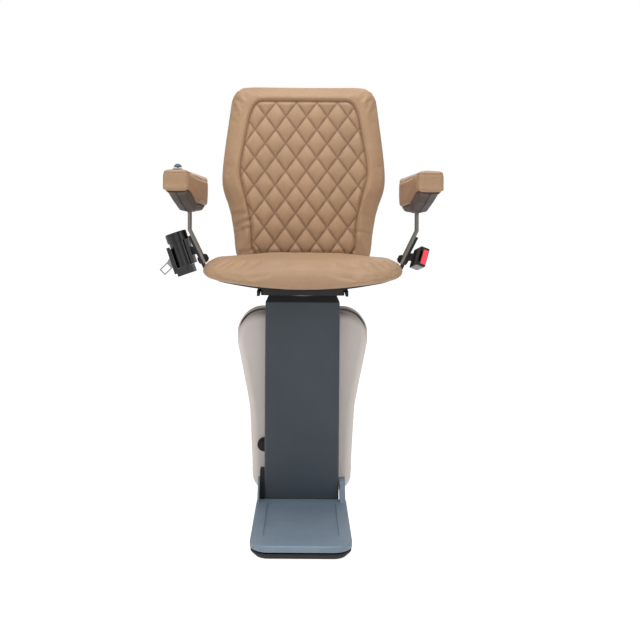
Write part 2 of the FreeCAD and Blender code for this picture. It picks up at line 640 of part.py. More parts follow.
def cushion_section(y, half, top, top_side, belly, belly_side, roll):
    """One cross-section of the seat cushion: crowned top, round sides, dished underside."""
    middle = (top_side + belly_side) / 2
    right_top, right_low = Vector(half - roll, y, top_side), Vector(half - roll, y, belly_side)
    left_top, left_low = Vector(roll - half, y, top_side), Vector(roll - half, y, belly_side)
    return Part.Wire([
        arc(left_top, Vector(0, y, top), right_top), arc(right_top, Vector(half, y, middle), right_low),
        arc(right_low, Vector(0, y, belly), left_low), arc(left_low, Vector(-half, y, middle), left_top)])


def seat_cushion_shape(margin=0.0, deeper=0.0):
    """The seat cushion: cross-sections lofted from the front roll to the rear edge."""
    front, rear, half = size("pad_front"), size("pad_rear"), size("pad_half")
    crown, side = size("pad_crown"), size("pad_side")
    belly, lift = size("pad_belly"), size("pad_lift")
    sections = []
    # share of the depth, share of the half width, drop of the crown, of the side, rise of the belly, of the rim
    for share, width, drop, side_drop, belly_up, rim_down in (
            (0.0, 0.50, 30, 24, 8, 12), (0.025, 0.66, 17, 14, 0, 11), (0.09, 0.82, 9, 8, -1, 9),
            (0.21, 0.94, 3, 3, 0, 5), (0.45, 1.0, 0, 0, 0, 0), (0.69, 0.945, 0, 0, 0, 1),
            (0.88, 0.83, 3, 1, 1, 4), (0.98, 0.765, 9, 4, 3, 6), (1.0, 0.68, 17, 10, 9, 7)):
        y = -front + (front - rear) * share + (margin if share < 0.5 else -margin) * 0.8
        sections.append(cushion_section(y, half * width - margin, crown - drop, side - side_drop,
                                        belly + belly_up - deeper, belly + lift - rim_down - deeper, 10))
    return Part.makeLoft(sections, True, False)


def solid(name, shape):
    """A node whose form is a loft or the like."""
    part = doc.addObject("Part::Feature", name)
    part.Shape = shape
    return part


nodes["seat_cushion"] = solid("seat_cushion", seat_cushion_shape())

# Seat pan: a thin tray that follows the cushion's underside, with two hinge lugs
pan_blank = solid("pan_blank", seat_cushion_shape(size("pan_margin"), size("pan_thickness")))
pan_tool = solid("pan_tool", seat_cushion_shape())
pan_tool.Placement = Placement(Vector(0, 0, -size("clearance")), Rotation())
pan_lugs = []
ears = []
for side, name in ((-1, "left"), (1, "right")):
    start = "lug_in" if side > 0 else "-lug_in-lug_thickness"
    lug = plate("pan_lug_" + name, "YZ_Plane", (
        ("-fold_setback+9", "fold_height-9"), ("-fold_setback+9", "fold_height+9"), ("-fold_setback-9", "fold_height+9"),
        ("-fold_setback-60", "fold_height-2"), ("-fold_setback-60", "fold_height-8"), ("-fold_setback-9", "fold_height-9")),
        "lug_thickness", start)
    soften(lug, "pan_lug_round_" + name, "Fillet", "3", along("x"))
    pan_lugs.append(lug)
    ear_start = "lug_in+lug_thickness+clearance" if side > 0 else "-lug_in-lug_thickness*2-clearance"
    ear = plate("frame_ear_" + name, "YZ_Plane", (
        ("-fold_setback-9", "fold_height-9"), ("-10", "fold_height-22"), ("-10", "fold_height-2"),
        ("-fold_setback+9", "fold_height+9"), ("-fold_setback-9", "fold_height+9")), "lug_thickness", ear_start)
    soften(ear, "frame_ear_round_" + name, "Fillet", "3", along("x"))
    ears.append(ear)
lug_strap = block("pan_strap", both("lug_in+1"), ("-fold_setback-60", "-fold_setback-40"),
                  ("fold_height-8", "fold_height-3"))
pin_bore = rod("pan_pin_bore", "fold_pin+shaft_clearance", "lug_in*2+60",
               ("-lug_in-30", "-fold_setback", "fold_height"), "x")
pan_keep = block("pan_keep", both("pad_half"), ("-pad_front+30", "-pad_rear-25"), ("pad_belly-20", "pad_side"))
pan_dish = cut("pan_dish", pan_blank, pan_tool)
nodes["seat_pan"] = cut("seat_pan", fuse("pan_fused", doc.addObject("Part::Common", "pan_trimmed"), lug_strap, *pan_lugs),
                        pan_tool, pin_bore)
doc.getObject("pan_trimmed").Base = pan_dish
doc.getObject("pan_trimmed").Tool = pan_keep


def leaned(thing):
    """Moves an object drawn upright to the backrest's foot and leans it back."""
    thing.Placement = Placement(Vector(0, -size("back_front"), size("back_bottom")),
                                Rotation(Vector(1, 0, 0), -size("back_lean")))
    return thing


def mirrored(points):
    """An outline's right side, upwards, and its left side, downwards."""
    return tuple(points) + tuple(("-(%s)" % across, up) for across, up in reversed(points))


def back_outline(inset):
    """The backrest's outline, widest at the elbows."""
    return mirrored([("back_foot_half-%s" % inset, inset), ("back_foot_half+7-%s" % inset, "back_elbow*0.425"),
                     ("back_foot_half+18-%s" % inset, "back_elbow*0.7"), ("back_elbow_half-%s" % inset, "back_elbow"),
                     ("back_elbow_half-6.5-%s" % inset, "back_elbow+92"), ("back_top_half-%s" % inset,
                                                                       "back_height-%s" % inset)])


# Backrest cushion: rolled edges, a seam round the panel and diamond quilting inside it
cushion = plate("back_blank", "XZ_Plane", back_outline("0"), "back_thickness", "-back_thickness")
soften(cushion, "back_corners", "Fillet", "back_corner",
       lambda middle, way: abs(way.y) > 0.999 and middle.z > size("back_height") - 1)
soften(cushion, "back_elbows", "Fillet", "back_corner*0.6",
       lambda middle, way: abs(way.y) > 0.999 and abs(middle.z - size("back_elbow")) < 1)
soften(cushion, "back_feet", "Fillet", "back_corner/2",
       lambda middle, way: abs(way.y) > 0.999 and middle.z < 1)
soften(cushion, "back_front_roll", "Fillet", "back_edge", lambda middle, way: middle.y < 0.01)
soften(cushion, "back_rear_roll", "Fillet", "back_edge/3",
       lambda middle, way: middle.y > size("back_thickness") - 0.01)


def quilt_panel(grow):
    """The quilted panel's outline as a face, grown by a margin."""
    half, foot_half, top_half = size("quilt_half"), size("quilt_foot_half"), size("quilt_top_half")
    foot, elbow, top = size("quilt_foot"), size("quilt_elbow"), size("quilt_top")
    right = [(foot_half, foot - grow), (foot_half + 2, foot + 75), (foot_half + 9, foot + 115),
             (half, elbow), (half - 1, elbow + 37), (half - 24, top - 35), (top_half, top + grow)]
    ring = [Vector(x + grow, 0, z) for x, z in right] + [Vector(-x - grow, 0, z) for x, z in reversed(right)]
    return Part.Face(Part.makePolygon(ring + ring[:1]))


def quilting():
    """Valleys along both diagonals of the diamonds, kept inside the panel."""
    wide, tall = size("diamond_width"), size("diamond_height")
    depth, spread = size("stitch_depth"), size("stitch_width") / 2
    reach = size("back_height")
    valleys = []
    count = int(size("quilt_half") * 2 / wide + size("quilt_top") / tall) // 2 + 2
    for lean in (-1, 1):
        along_seam = Vector(lean * wide, 0, tall).normalize()
        across_seam = Vector(along_seam.z, 0, -along_seam.x) * spread
        for step in range(-count, count + 1):
            middle = Vector(7 + step * wide, 0, size("quilt_elbow") + 14)
            start = middle - along_seam * reach
            valley = Part.Face(Part.makePolygon([start - across_seam + Vector(0, -0.5, 0), start + Vector(0, depth, 0),
                                                 start + across_seam + Vector(0, -0.5, 0),
                                                 start - across_seam + Vector(0, -0.5, 0)]))
            valleys.append(valley.extrude(along_seam * reach * 2))
    inside = quilt_panel(0).extrude(Vector(0, depth * 2, 0))
    inside.translate(Vector(0, -1, 0))
    return [valley.common(inside) for valley in valleys if valley.distToShape(inside)[0] < 1e-6]


def panel_seam():
    """The groove sewn round the quilted panel."""
    outer = quilt_panel(size("seam_width")).extrude(Vector(0, size("stitch_depth") + 1, 0))
    inner = quilt_panel(0).extrude(Vector(0, size("stitch_depth") + 1, 0))
    seam = outer.cut(inner)
    seam.translate(Vector(0, -1, 0))
    return seam


doc.recompute()
valleys = [valley for valley in quilting() if valley.Solids]
seams = valleys[0].fuse(valleys[1:] + [panel_seam()])
quilted = solid("backrest_cushion", cushion.Shape.cut(seams))
nodes["backrest_cushion"] = leaned(quilted)

# Backrest shell behind the cushion, and the two uprights that carry it
shell = plate("backrest_shell", "XZ_Plane", back_outline("shell_inset"), "shell_thickness",
              "-back_thickness-clearance-shell_thickness")
soften(shell, "shell_corners", "Fillet", "back_corner-shell_inset/2",
       lambda middle, way: abs(way.y) > 0.999 and middle.z > size("back_height") - 20)
soften(shell, "shell_rear_edge", "Fillet", "shell_thickness*0.6",
       lambda middle, way: middle.y > size("back_thickness") + size("shell_thickness"))
nodes["backrest_shell"] = leaned(shell)


def behind_back(along_lean, away):
    """Formulas for a point behind the shell: place along Y and height."""
    deep = "(back_thickness+clearance*2+shell_thickness+%s)" % away
    return ("-back_front+%s*cos(back_lean)+(%s)*sin(back_lean)" % (deep, along_lean),
            "back_bottom+(%s)*cos(back_lean)-%s*sin(back_lean)" % (along_lean, deep))


uprights = []
for side, name in ((-1, "left"), (1, "right")):
    start = "base_width/2" if side > 0 else "-base_width/2-upright_thickness"
    upright = plate("upright_" + name, "YZ_Plane", (
        ("-leg_reach+post_setback+40", base_low + "+2"), ("0", base_low + "+2"), ("34", base_low + "+36"),
        behind_back("upright_top", "30"), behind_back("upright_top", "0"), behind_back("12", "0"),
        ("-2", "fold_height-4"), ("-18", "fold_height-4"), ("-18", "fold_height-22"),
        ("-50", base_low + "+15"), ("-leg_reach+post_setback+40", base_low + "+15")),
        "upright_thickness", start)
    uprights.append(upright)
cross_bar = block("cross_bar", both("lug_in+lug_thickness*2+clearance"), ("-18", "-2"),
                  ("fold_height-22", "fold_height-4"))
ear_bores = rod("ear_bores", "fold_pin+shaft_clearance", "lug_in*2+60",
                ("-lug_in-30", "-fold_setback", "fold_height"), "x")
nodes["back_frame"] = cut("back_frame", fuse("frame_fused", cross_bar, *uprights, *ears), ear_bores)
hinge_pins = []
for side, name in ((-1, "left"), (1, "right")):
    start = "lug_in-1" if side > 0 else "-lug_in-lug_thickness*2-clearance-2"
    hinge_pins.append(rod("hinge_pin_" + name, "fold_pin", "lug_thickness*2+clearance+3",
                          (start, "-fold_setback", "fold_height"), "x"))
nodes["seat_hinge_pins"] = group("seat_hinge_pins", *hinge_pins)


def slanted(down, out):
    """Formulas for a point beside the arm bar's slanted part."""
    return ("arm_across-(%s)*sin(arm_slant)+(%s)*cos(arm_slant)" % (down, out),
            "arm_bend-(%s)*cos(arm_slant)-(%s)*sin(arm_slant)" % (down, out))


def slanted_rod(name, radius, low, high):
    """A cylinder on the arm pivot's axis, square to the slanted bars."""
    cylinder = doc.addObject("Part::Cylinder", name)
    cylinder.Placement = Placement(Vector(), Rotation(Vector(0, 1, 0), 90 + size("arm_slant")))
    cylinder.setExpression("Radius", bound(radius))
    cylinder.setExpression("Height", bound("(%s)-(%s)" % (high, low)))
    across, up = slanted("arm_reach", low)
    place(cylinder, (across, "-arm_setback", up))
    return cylinder


# Arm bar: a bent flat bar from its pivot up into the armrest
half_bar = "arm_thickness/2"
bar_rear = "arm_setback-arm_width/2"
bar = plate("arm_bar_blank", "XZ_Plane", (
    slanted("arm_reach+arm_tail", half_bar), ("arm_across+" + half_bar, "arm_bend-%s*tan(arm_slant/2)" % half_bar),
    ("arm_across+" + half_bar, "armrest_low-8"), ("arm_across-" + half_bar, "armrest_low-8"),
    ("arm_across-" + half_bar, "arm_bend+%s*tan(arm_slant/2)" % half_bar),
    slanted("arm_reach+arm_tail", "-" + half_bar)), "arm_width", bar_rear)
bar_bore = slanted_rod("arm_bar_bore", "arm_pin+shaft_clearance", "-arm_thickness", "arm_thickness")
nodes["arm_bar_right"] = cut("arm_bar_right", bar, bar_bore)

# Arm bracket: the black flat bar beside it, down and under the seat to the upright
inner, outer = "arm_thickness/2+clearance", "arm_thickness*1.5+clearance"
bracket = plate("arm_bracket_blank", "XZ_Plane", (
    slanted("14", inner), slanted("14", outer), slanted("arm_reach+24", outer), ("arm_across-49", "fold_height-12"),
    ("arm_across-62", "fold_height-16"), ("base_width/2+upright_thickness", base_low + "+3"),
    ("base_width/2+upright_thickness", base_low + "+12"), ("arm_across-67", "fold_height-9"),
    ("arm_across-53", "fold_height-4"), slanted("arm_reach+24", inner)), "arm_width", bar_rear)
bracket_bore = slanted_rod("arm_bracket_bore", "arm_pin+shaft_clearance", "0", "arm_thickness*3")
nodes["arm_bracket_right"] = cut("arm_bracket_right", bracket, bracket_bore)
knob_low = "-arm_thickness/2-clearance"
nodes["arm_pivot_right"] = fuse(
    "arm_pivot_right", slanted_rod("pivot_shank", "arm_pin", knob_low, "arm_thickness*1.5+clearance+5"),
    slanted_rod("pivot_knob", "arm_pin*2", knob_low + "-5", knob_low),
    slanted_rod("pivot_dome", "arm_pin*1.4", knob_low + "-8", knob_low + "-5"),
    slanted_rod("pivot_nut", "arm_pin*1.7", "arm_thickness*1.5+clearance", "arm_thickness*1.5+clearance+4"))

# Armrest: a padded box with an S-shaped lower edge, and a keeled underside
stations = (("armrest_front-6", "armrest_low+24", 6), ("armrest_front-29", "armrest_low+27", 10),
            ("armrest_front-75", "armrest_low+21", 13), ("armrest_front-131", "armrest_low+8", 17),
            ("arm_setback+39", "armrest_low", 19), ("armrest_rear+37", "armrest_low", 15),
            ("armrest_rear+5", "armrest_low+3", 5))
pad = plate("armrest_blank", "YZ_Plane",
            (("-armrest_front", "armrest_top"), ("-armrest_front", "armrest_low+22"))
            + tuple(("-(%s)" % y, low) for y, low, keel in stations)
            + (("-armrest_rear", "armrest_low+6"), ("-armrest_rear", "armrest_top+armrest_rise")),
            "armrest_width", "arm_across-armrest_width/2")
soften(pad, "armrest_corners", "Fillet", "9",
       lambda middle, way: abs(way.x) > 0.999 and (middle.z > size("armrest_top") - 2
                                                    or middle.y > -size("armrest_rear") - 1))
soften(pad, "armrest_top_roll", "Fillet", "8", lambda middle, way: middle.z > size("armrest_top") + 1
       and abs(way.x) < 0.5)
nodes["armrest_pad_right"] = pad
pad.Label = "armrest_pad_right"


def keel_shape():
    """The armrest's underside: a shallow keel with its seam along the middle."""
    sections = []
    for setback, low, deep in (
            (size("armrest_front") - 6, size("armrest_low") + 24, 6),
            (size("armrest_front") - 29, size("armrest_low") + 27, 14),
            (size("armrest_front") - 75, size("armrest_low") + 21, 22),
            (size("armrest_front") - 131, size("armrest_low") + 8, 20),
            (size("arm_setback") + 39, size("armrest_low"), 19),
            (size("armrest_rear") + 37, size("armrest_low"), 15),
            (size("armrest_rear") + 5, size("armrest_low") + 3, 5)):
        half = size("armrest_width") / 2 - 3
        middle = size("arm_across")
        belly = deep * 0.8
        corners = [Vector(middle - half, -setback, low), Vector(middle - half * 0.74, -setback, low - belly),
                   Vector(middle, -setback, low - deep), Vector(middle + half * 0.74, -setback, low - belly),
                   Vector(middle + half, -setback, low)]
        sections.append(Part.makePolygon(corners + corners[:1]))
    return Part.makeLoft(sections, True, True)


nodes["armrest_underside_right"] = cut("armrest_underside_right", solid("keel_blank", keel_shape()), bar)
for name in ("arm_bar", "arm_bracket", "arm_pivot", "armrest_pad", "armrest_underside"):
    mirror = doc.addObject("Part::Mirroring", name + "_left")
    mirror.Source = nodes[name + "_right"]
    mirror.Normal = (1, 0, 0)
    nodes[name + "_left"] = mirror

# Joystick on the left armrest: an oblong base plate and a domed knob
stick_x, stick_y = "-arm_across", "-joystick_setback"
plate_end = "(joystick_plate/2-joystick_radius)"
plate_parts = [rod("stick_end_" + name, "joystick_radius", "stub-1", (stick_x, stick_y + sign + plate_end, "armrest_top+1.2"))
               for name, sign in (("front", "-"), ("rear", "+"))]
plate_middle = block("stick_middle", (stick_x + "-joystick_radius", stick_x + "+joystick_radius"),
                     (stick_y + "-" + plate_end, stick_y + "+" + plate_end), ("armrest_top+1.2", "armrest_top+stub+0.2"))
plate_hole = rod("stick_hole", "stub+1", "stub*2", (stick_x, stick_y, "armrest_top"))
nodes["joystick_base"] = cut("joystick_base", fuse("stick_plate", plate_middle, *plate_parts), plate_hole)
dome = doc.addObject("Part::Sphere", "stick_dome")
dome.setExpression("Radius", bound("joystick_radius"))
place(dome, (stick_x, stick_y, "armrest_top+stub+2"))
dome_keep = block("stick_dome_keep", (stick_x + "-joystick_radius", stick_x + "+joystick_radius"),
                  (stick_y + "-joystick_radius", stick_y + "+joystick_radius"),
                  ("armrest_top+stub+3.5", "armrest_top+stub+12"))
dome_cap = doc.addObject("Part::Common", "stick_dome_cap")
dome_cap.Base = dome
dome_cap.Tool = dome_keep
stick_stem = rod("stick_stem", "stub/2", "stub+1", (stick_x, stick_y, "armrest_top+joystick_pivot"))
stick_ball = doc.addObject("Part::Sphere", "stick_ball")
stick_ball.setExpression("Radius", bound("joystick_ball"))
place(stick_ball, (stick_x, stick_y, "armrest_top+joystick_pivot"))
nodes["joystick_knob"] = fuse("joystick_knob", dome_cap, stick_stem, stick_ball)


def tilted(thing, across, setback, height, tilt):
    """Moves an object drawn upright at the origin to its place, its top tilted outwards."""
    thing.Placement = Placement(Vector(size(across) * (1 if tilt > 0 else -1), -size(setback), size(height)),
                                Rotation(Vector(0, 1, 0), tilt))
    return thing


# Belt reel: body, spring cap, base block and web guide, then the metal tongue
reel = "reel_radius"
cap_part = rod("reel_cap_blank", "reel_radius+3", "22", ("0", "0", "30"))
doc.recompute()
reel_cap = rounded("reel_cap", cap_part, 2, lambda middle, way: True)
reel_cap.Edges = [(number, 2, 2) for number in (1, 3)]
guide = fuse("reel_guide", block("guide_wall", ("-reel_radius-6", "-reel_radius-3"), ("-20", "16"), ("-44", "18")),
             block("guide_lip_low", ("-reel_radius-6", "4"), ("-24", "-20"), ("-44", "-34")),
             block("guide_lip_side", ("-reel_radius-6", "-reel_radius+2"), ("-24", "-20"), ("-44", "22")))
reel_body = fuse("reel_body_parts", rod("reel_drum", reel, "61.7", ("0", "0", "-32")),
                 block("reel_spine", ("reel_radius-6", "reel_radius+2"), ("-20", "20"), ("-32", "29.7")), guide)
reel_base = block("reel_base_block", ("-reel_radius-1", "reel_radius-6"), ("-19.7", "reel_radius-1"), ("-52", "-32.3"))
for name, part in (("reel_cap", reel_cap), ("reel_body", reel_body), ("reel_base", reel_base)):
    holder = doc.addObject("Part::Compound", name + "_placed")
    holder.Links = [part]
    nodes[name] = tilted(holder, "reel_across", "arm_setback", "reel_height", -size("reel_tilt"))


def beside_reel(up):
    """Formulas for a point on the reel's inner face, seen on the right-hand side."""
    face = "(reel_radius+2+clearance)"
    return ("reel_across-%s*cos(reel_tilt)+(%s)*sin(reel_tilt)" % (face, up),
            "reel_height+%s*sin(reel_tilt)+(%s)*cos(reel_tilt)" % (face, up))


reel_mount = plate("reel_mount_right", "XZ_Plane", (
    beside_reel("-12"), beside_reel("8"), slanted("arm_reach-37", outer), slanted("arm_reach-16", outer)),
    "20", "arm_setback-10")
reel_mount_left = doc.addObject("Part::Mirroring", "reel_mount")
reel_mount_left.Source = reel_mount
reel_mount_left.Normal = (1, 0, 0)
nodes["reel_mount"] = reel_mount_left
cosine, sine = 0.9, 0.436
neck_x, neck_z = "-reel_radius-13", "-18"
side_x, side_z = "tongue_half*%g" % sine, "tongue_half*%g" % cosine
run_x, run_z = "tongue_length*%g" % cosine, "tongue_length*%g" % sine
tongue = plate("tongue_blank", "XZ_Plane", (
    ("-reel_radius-6-clearance", "0"), (neck_x + "-" + side_x, neck_z + "+" + side_z),
    (neck_x + "-" + side_x + "-" + run_x, neck_z + "+" + side_z + "-" + run_z),
    (neck_x + "+" + side_x + "-" + run_x, neck_z + "-" + side_z + "-" + run_z),
    (neck_x + "+" + side_x, neck_z + "-" + side_z), ("-reel_radius-6-clearance", "-34")), "tongue_sheet", "6")
inner_x, inner_z = "(tongue_half-3)*%g" % sine, "(tongue_half-3)*%g" % cosine
hole = plate("tongue_hole", "XZ_Plane", tuple(
    ("%s-(%s)*%g%s%s" % (neck_x, reach, cosine, "-" if up else "+", inner_x),
     "%s-(%s)*%g%s%s" % (neck_z, reach, sine, "+" if up else "-", inner_z))
    for reach, up in (("3", True), ("tongue_length-3", True), ("tongue_length-3", False), ("3", False))),
    "tongue_sheet+2", "5")
nodes["belt_tongue"] = tilted(group("belt_tongue", cut("tongue_cut", tongue, hole)),
                              "reel_across", "arm_setback", "reel_height", -size("reel_tilt"))

# Buckle: a black case with its red release button, on a steel stalk
half_wide, half_tall = "buckle_width/2", "buckle_tall/2"
case = rounded("buckle_case", block("buckle_block", both(half_wide), ("0", "buckle_long"), both(half_tall)), 3,
               lambda middle, way: True)
button_x, button_z = (half_wide + "-14", half_wide + "-2"), both("buckle_tall/2-6")
button_well = block("button_well", (button_x[0] + "-clearance", button_x[1] + "+clearance"),
                    ("-1", "8+button_travel+1"), both("buckle_tall/2-6+clearance"))
tongue_slot = block("tongue_slot", ("-%s+2.5" % half_wide, "-%s+7" % half_wide), ("-1", "buckle_long-20"),
                    both("buckle_tall/2-10"))
BUCKLE = Placement(Vector(size("buckle_across"), -size("buckle_front"), size("buckle_height")),
                   Rotation(Vector(0, 0, 1), 12) * Rotation(Vector(1, 0, 0), -12)
                   * Rotation(Vector(0, 1, 0), size("buckle_tilt")))
buckle_body = group("buckle_body", cut("buckle_hollowed", case, button_well, tongue_slot))
buckle_body.Placement = BUCKLE
nodes["buckle_body"] = buckle_body
button = group("buckle_button", rounded("button_round", block("button_block", button_x, ("-1", "8"), button_z), 1,
                                        lambda middle, way: middle.y < 0))
button.Placement = BUCKLE
nodes["buckle_button"] = button
print("button slides along", BUCKLE.Rotation.multVec(Vector(0, 1, 0)))
stalk = block("stalk_block", ("arm_across-30", "arm_across+2"), ("-arm_setback-28", "-arm_setback-2"),
              ("buckle_height-12", "buckle_height+6"))
stalk_keep = plate("stalk_keep", "XZ_Plane", (
    slanted("arm_reach-52", outer), slanted("arm_reach-52", "50"), slanted("arm_reach+20", "50"),
    slanted("arm_reach+20", outer)), "60", "arm_setback-20")
stalk_part = doc.addObject("Part::Common", "stalk_part")
stalk_part.Base = stalk
stalk_part.Tool = stalk_keep
nut_room = slanted_rod("nut_room", "arm_pin*1.7+1", "0", "arm_thickness*4")
case_room = group("case_room", case)
case_room.Placement = BUCKLE
nodes["buckle_stalk"] = cut("buckle_stalk", stalk_part, nut_room, case_room)

# Footplate: rounded rim, sunken floor and two ears that turn on the footrest axle
tread_points = (("tread_half", "-tread_front"), ("tread_half", "-tread_rear"),
                ("-tread_half", "-tread_rear"), ("-tread_half", "-tread_front"))
tray = plate("footplate_tray", "XY_Plane", tread_points, "tread_thickness", "-tread_drop-tread_thickness")
front_corner = (lambda middle, way: abs(way.z) > 0.999 and middle.y < -size("tread_front") + 5)
soften(tray, "tray_corners", "Fillet", "tread_corner", front_corner)
soften(tray, "tray_rim", "Fillet", "5", lambda middle, way: middle.z > -size("tread_drop") - 0.01
       and middle.y < -size("tread_rear") - 0.01)
floor_cut = rounded("floor_cut", block("floor_block", both("tread_half-rim_side"),
                    ("-tread_front+rim_front", "-tread_rear-rim_rear"), ("-tread_drop-floor_depth", "-tread_drop+5")),
                    12, lambda middle, way: abs(way.z) > 0.999)
foot_ears = []
for name, low, high in (("right", "ear_right_in", "ear_right_out"), ("left", "-ear_left_out", "-ear_left_in")):
    ear = plate("foot_ear_" + name, "YZ_Plane", (
        ("-leg_reach+footrest_setback+15", "-footrest_drop+15"), ("-leg_reach+footrest_setback-15", "-footrest_drop+15"),
        ("-tread_rear-26", "-tread_drop"), ("-tread_rear-26", "-tread_drop-tread_thickness+1"),
        ("-tread_rear+8", "-tread_drop-tread_thickness+1"), ("-leg_reach+footrest_setback+15", "-footrest_drop-10")),
        "(%s)-(%s)" % (high, low), low)
    soften(ear, "foot_ear_top_" + name, "Fillet", "14",
           lambda middle, way: abs(way.x) > 0.999 and middle.z > -size("footrest_drop") + 14)
    foot_ears.append(ear)
ear_bore = rod("ear_bore", "footrest_axle+shaft_clearance", "tread_half*3",
               ("-tread_half*1.5", "-leg_reach+footrest_setback", "-footrest_drop"), "x")
guide_spots = [(across, setback) for across in ("-tread_half+28", "tread_half-28")
               for setback in ("-tread_rear-30", "-tread_front+52")]
guides = [rod("guide_%d" % number, "guide_radius", "underpan_height", (
    across, setback, "-tread_drop-tread_thickness-underpan_height+1")) for number, (across, setback)
    in enumerate(guide_spots)]
nodes["footplate"] = cut("footplate", fuse("footplate_fused", cut("tray_sunken", tray, floor_cut), *foot_ears, *guides),
                         ear_bore)

# Safety underpan: a shallow tray that is pushed up when it meets an obstacle
under_top = "-tread_drop-tread_thickness-clearance-underpan_travel"
under = plate("underpan_blank", "XY_Plane", tuple(
    (across.replace("tread_half", "(tread_half-1.5)"), back.replace("tread_front", "(tread_front-1.5)"))
    for across, back in tread_points), "underpan_height", under_top + "-underpan_height")
soften(under, "underpan_corners", "Fillet", "tread_corner-1.5", front_corner)
soften(under, "underpan_taper", "Chamfer", "underpan_taper",
       lambda middle, way: middle.z < -size("tread_drop") - 26 and middle.y < -size("tread_rear") - 0.01)
guide_holes = [rod("guide_hole_%d" % number, "guide_radius+shaft_clearance", "underpan_height",
                   (across, setback, "-tread_drop-tread_thickness-underpan_height-underpan_travel"))
               for number, (across, setback) in enumerate(guide_spots)]
nodes["safety_underpan"] = cut("safety_underpan", under, *guide_holes)

# Checks, then one file for each node
doc.recompute()
for thing in doc.Objects:
    if "Invalid" in thing.State or "Error" in thing.State:
        raise RuntimeError("%s failed: %s" % (thing.Label, thing.getStatusString()))
os.makedirs("parts", exist_ok=True)
for label, thing in nodes.items():
    thing.Label = label
    if thing.Shape.isNull() or not thing.Shape.isValid() or not thing.Shape.Solids:
        raise RuntimeError("%s has no valid solid" % label)
for label, thing in nodes.items():
    thing.Shape.exportStep("parts/%s.step" % label)
print(len(nodes), "nodes written")
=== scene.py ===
# %% [markdown]
# # A stairlift chair, dressed in Blender
# The chair rides on a two-tube rail: leather seat, leaning quilted back, padded arms that fold,
# a sheet-metal leg over a white carriage, and a footplate.
# The CAD frame holds every rigid piece at its true size. This file gives the pieces their finishes,
# and makes the leather cushions, seams and stitches that CAD leaves plain.

# %% Load the frame
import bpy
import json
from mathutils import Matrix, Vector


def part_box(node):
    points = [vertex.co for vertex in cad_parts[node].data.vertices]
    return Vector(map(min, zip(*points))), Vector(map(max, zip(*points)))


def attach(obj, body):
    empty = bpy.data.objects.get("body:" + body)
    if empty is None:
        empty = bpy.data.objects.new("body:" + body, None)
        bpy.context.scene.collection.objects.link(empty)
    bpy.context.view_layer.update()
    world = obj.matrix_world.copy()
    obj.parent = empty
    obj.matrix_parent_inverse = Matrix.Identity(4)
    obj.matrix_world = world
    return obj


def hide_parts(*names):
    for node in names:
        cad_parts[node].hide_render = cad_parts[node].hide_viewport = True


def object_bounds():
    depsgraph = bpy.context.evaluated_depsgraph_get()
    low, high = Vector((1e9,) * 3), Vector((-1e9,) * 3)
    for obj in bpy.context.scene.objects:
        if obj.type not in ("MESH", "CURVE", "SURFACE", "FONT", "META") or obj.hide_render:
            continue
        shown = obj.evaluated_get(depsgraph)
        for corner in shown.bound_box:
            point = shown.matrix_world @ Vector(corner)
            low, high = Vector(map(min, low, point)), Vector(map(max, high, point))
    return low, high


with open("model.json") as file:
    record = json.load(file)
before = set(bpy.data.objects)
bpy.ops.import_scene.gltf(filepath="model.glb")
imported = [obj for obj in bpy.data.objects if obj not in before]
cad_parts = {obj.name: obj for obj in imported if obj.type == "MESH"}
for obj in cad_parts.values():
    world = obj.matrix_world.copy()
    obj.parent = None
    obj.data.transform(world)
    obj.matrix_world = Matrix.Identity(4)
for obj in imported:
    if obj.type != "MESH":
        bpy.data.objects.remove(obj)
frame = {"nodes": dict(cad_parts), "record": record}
cad_low, cad_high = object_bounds()
print("CAD box in metres:", [round(v, 3) for v in cad_low], [round(v, 3) for v in cad_high])

# %% Tools used all through the file
import json
import math

import bmesh
import bpy
import numpy as np
from mathutils import Matrix, Vector
from mathutils.bvhtree import BVHTree

scene = bpy.context.scene
nodes = frame["nodes"]

# %% [markdown]
# ## The camera
# The photograph is taken from straight in front, level with the seat. The vertical lines of the leg
# stay parallel, so the camera isn't tilted: its view is shifted down instead.
# The place and the lens come from the sizes of the armrests and the leg, near and far.

# %% Camera
CAMERA_PLACE = Vector((0.0036, -1.950, 0.400))
CAMERA_LENS = 41.9
CAMERA_SHIFT = (0.024, -0.139)
CAMERA_ROLL = math.radians(-0.35)

camera_data = bpy.data.cameras.new("front_camera")
camera_data.lens = CAMERA_LENS
camera_data.shift_x, camera_data.shift_y = CAMERA_SHIFT
camera = bpy.data.objects.new("front_camera", camera_data)
camera.location = CAMERA_PLACE
camera.rotation_euler = (math.pi / 2, CAMERA_ROLL, 0)
scene.collection.objects.link(camera)
scene.camera = camera
print("camera is", round(-CAMERA_PLACE.y, 2), "m in front of the rail")

# %% [markdown]
# ## Light and floor
# A product photograph on white has large soft lights. One big light hangs above and in front, so the
# seat's top is the brightest leather, and a weaker one stands at each side.
# The floor is pale and glows a little, so that it joins the white behind it without a line.

# %% Lights
LIGHTS = {
    "overhead": ((0.0, -0.75, 2.6), (0.0, -0.15, 0.3), 2.0, 50.0),
    "left_box": ((-2.2, -1.6, 1.3), (0.0, -0.1, 0.3), 1.6, 10.0),
    "right_box": ((2.3, -1.7, 1.2), (0.0, -0.1, 0.3), 1.6, 7.0),
    "front_box": ((0.0, -3.4, 0.9), (0.0, 0.0, 0.2), 2.0, 8.0),
    "back_rim": ((0.3, 2.2, 1.9), (0.0, 0.0, 0.5), 1.8, 14.0),
}


def soft_light(name, place, aim, side, power):
    """A square area light of that side length, turned towards a point."""
    data = bpy.data.lights.new(name, "AREA")
    data.size = side
    data.energy = power
    light = bpy.data.objects.new(name, data)
    light.location = place
    light.rotation_euler = (Vector(aim) - Vector(place)).to_track_quat("-Z", "Y").to_euler()
    scene.collection.objects.link(light)


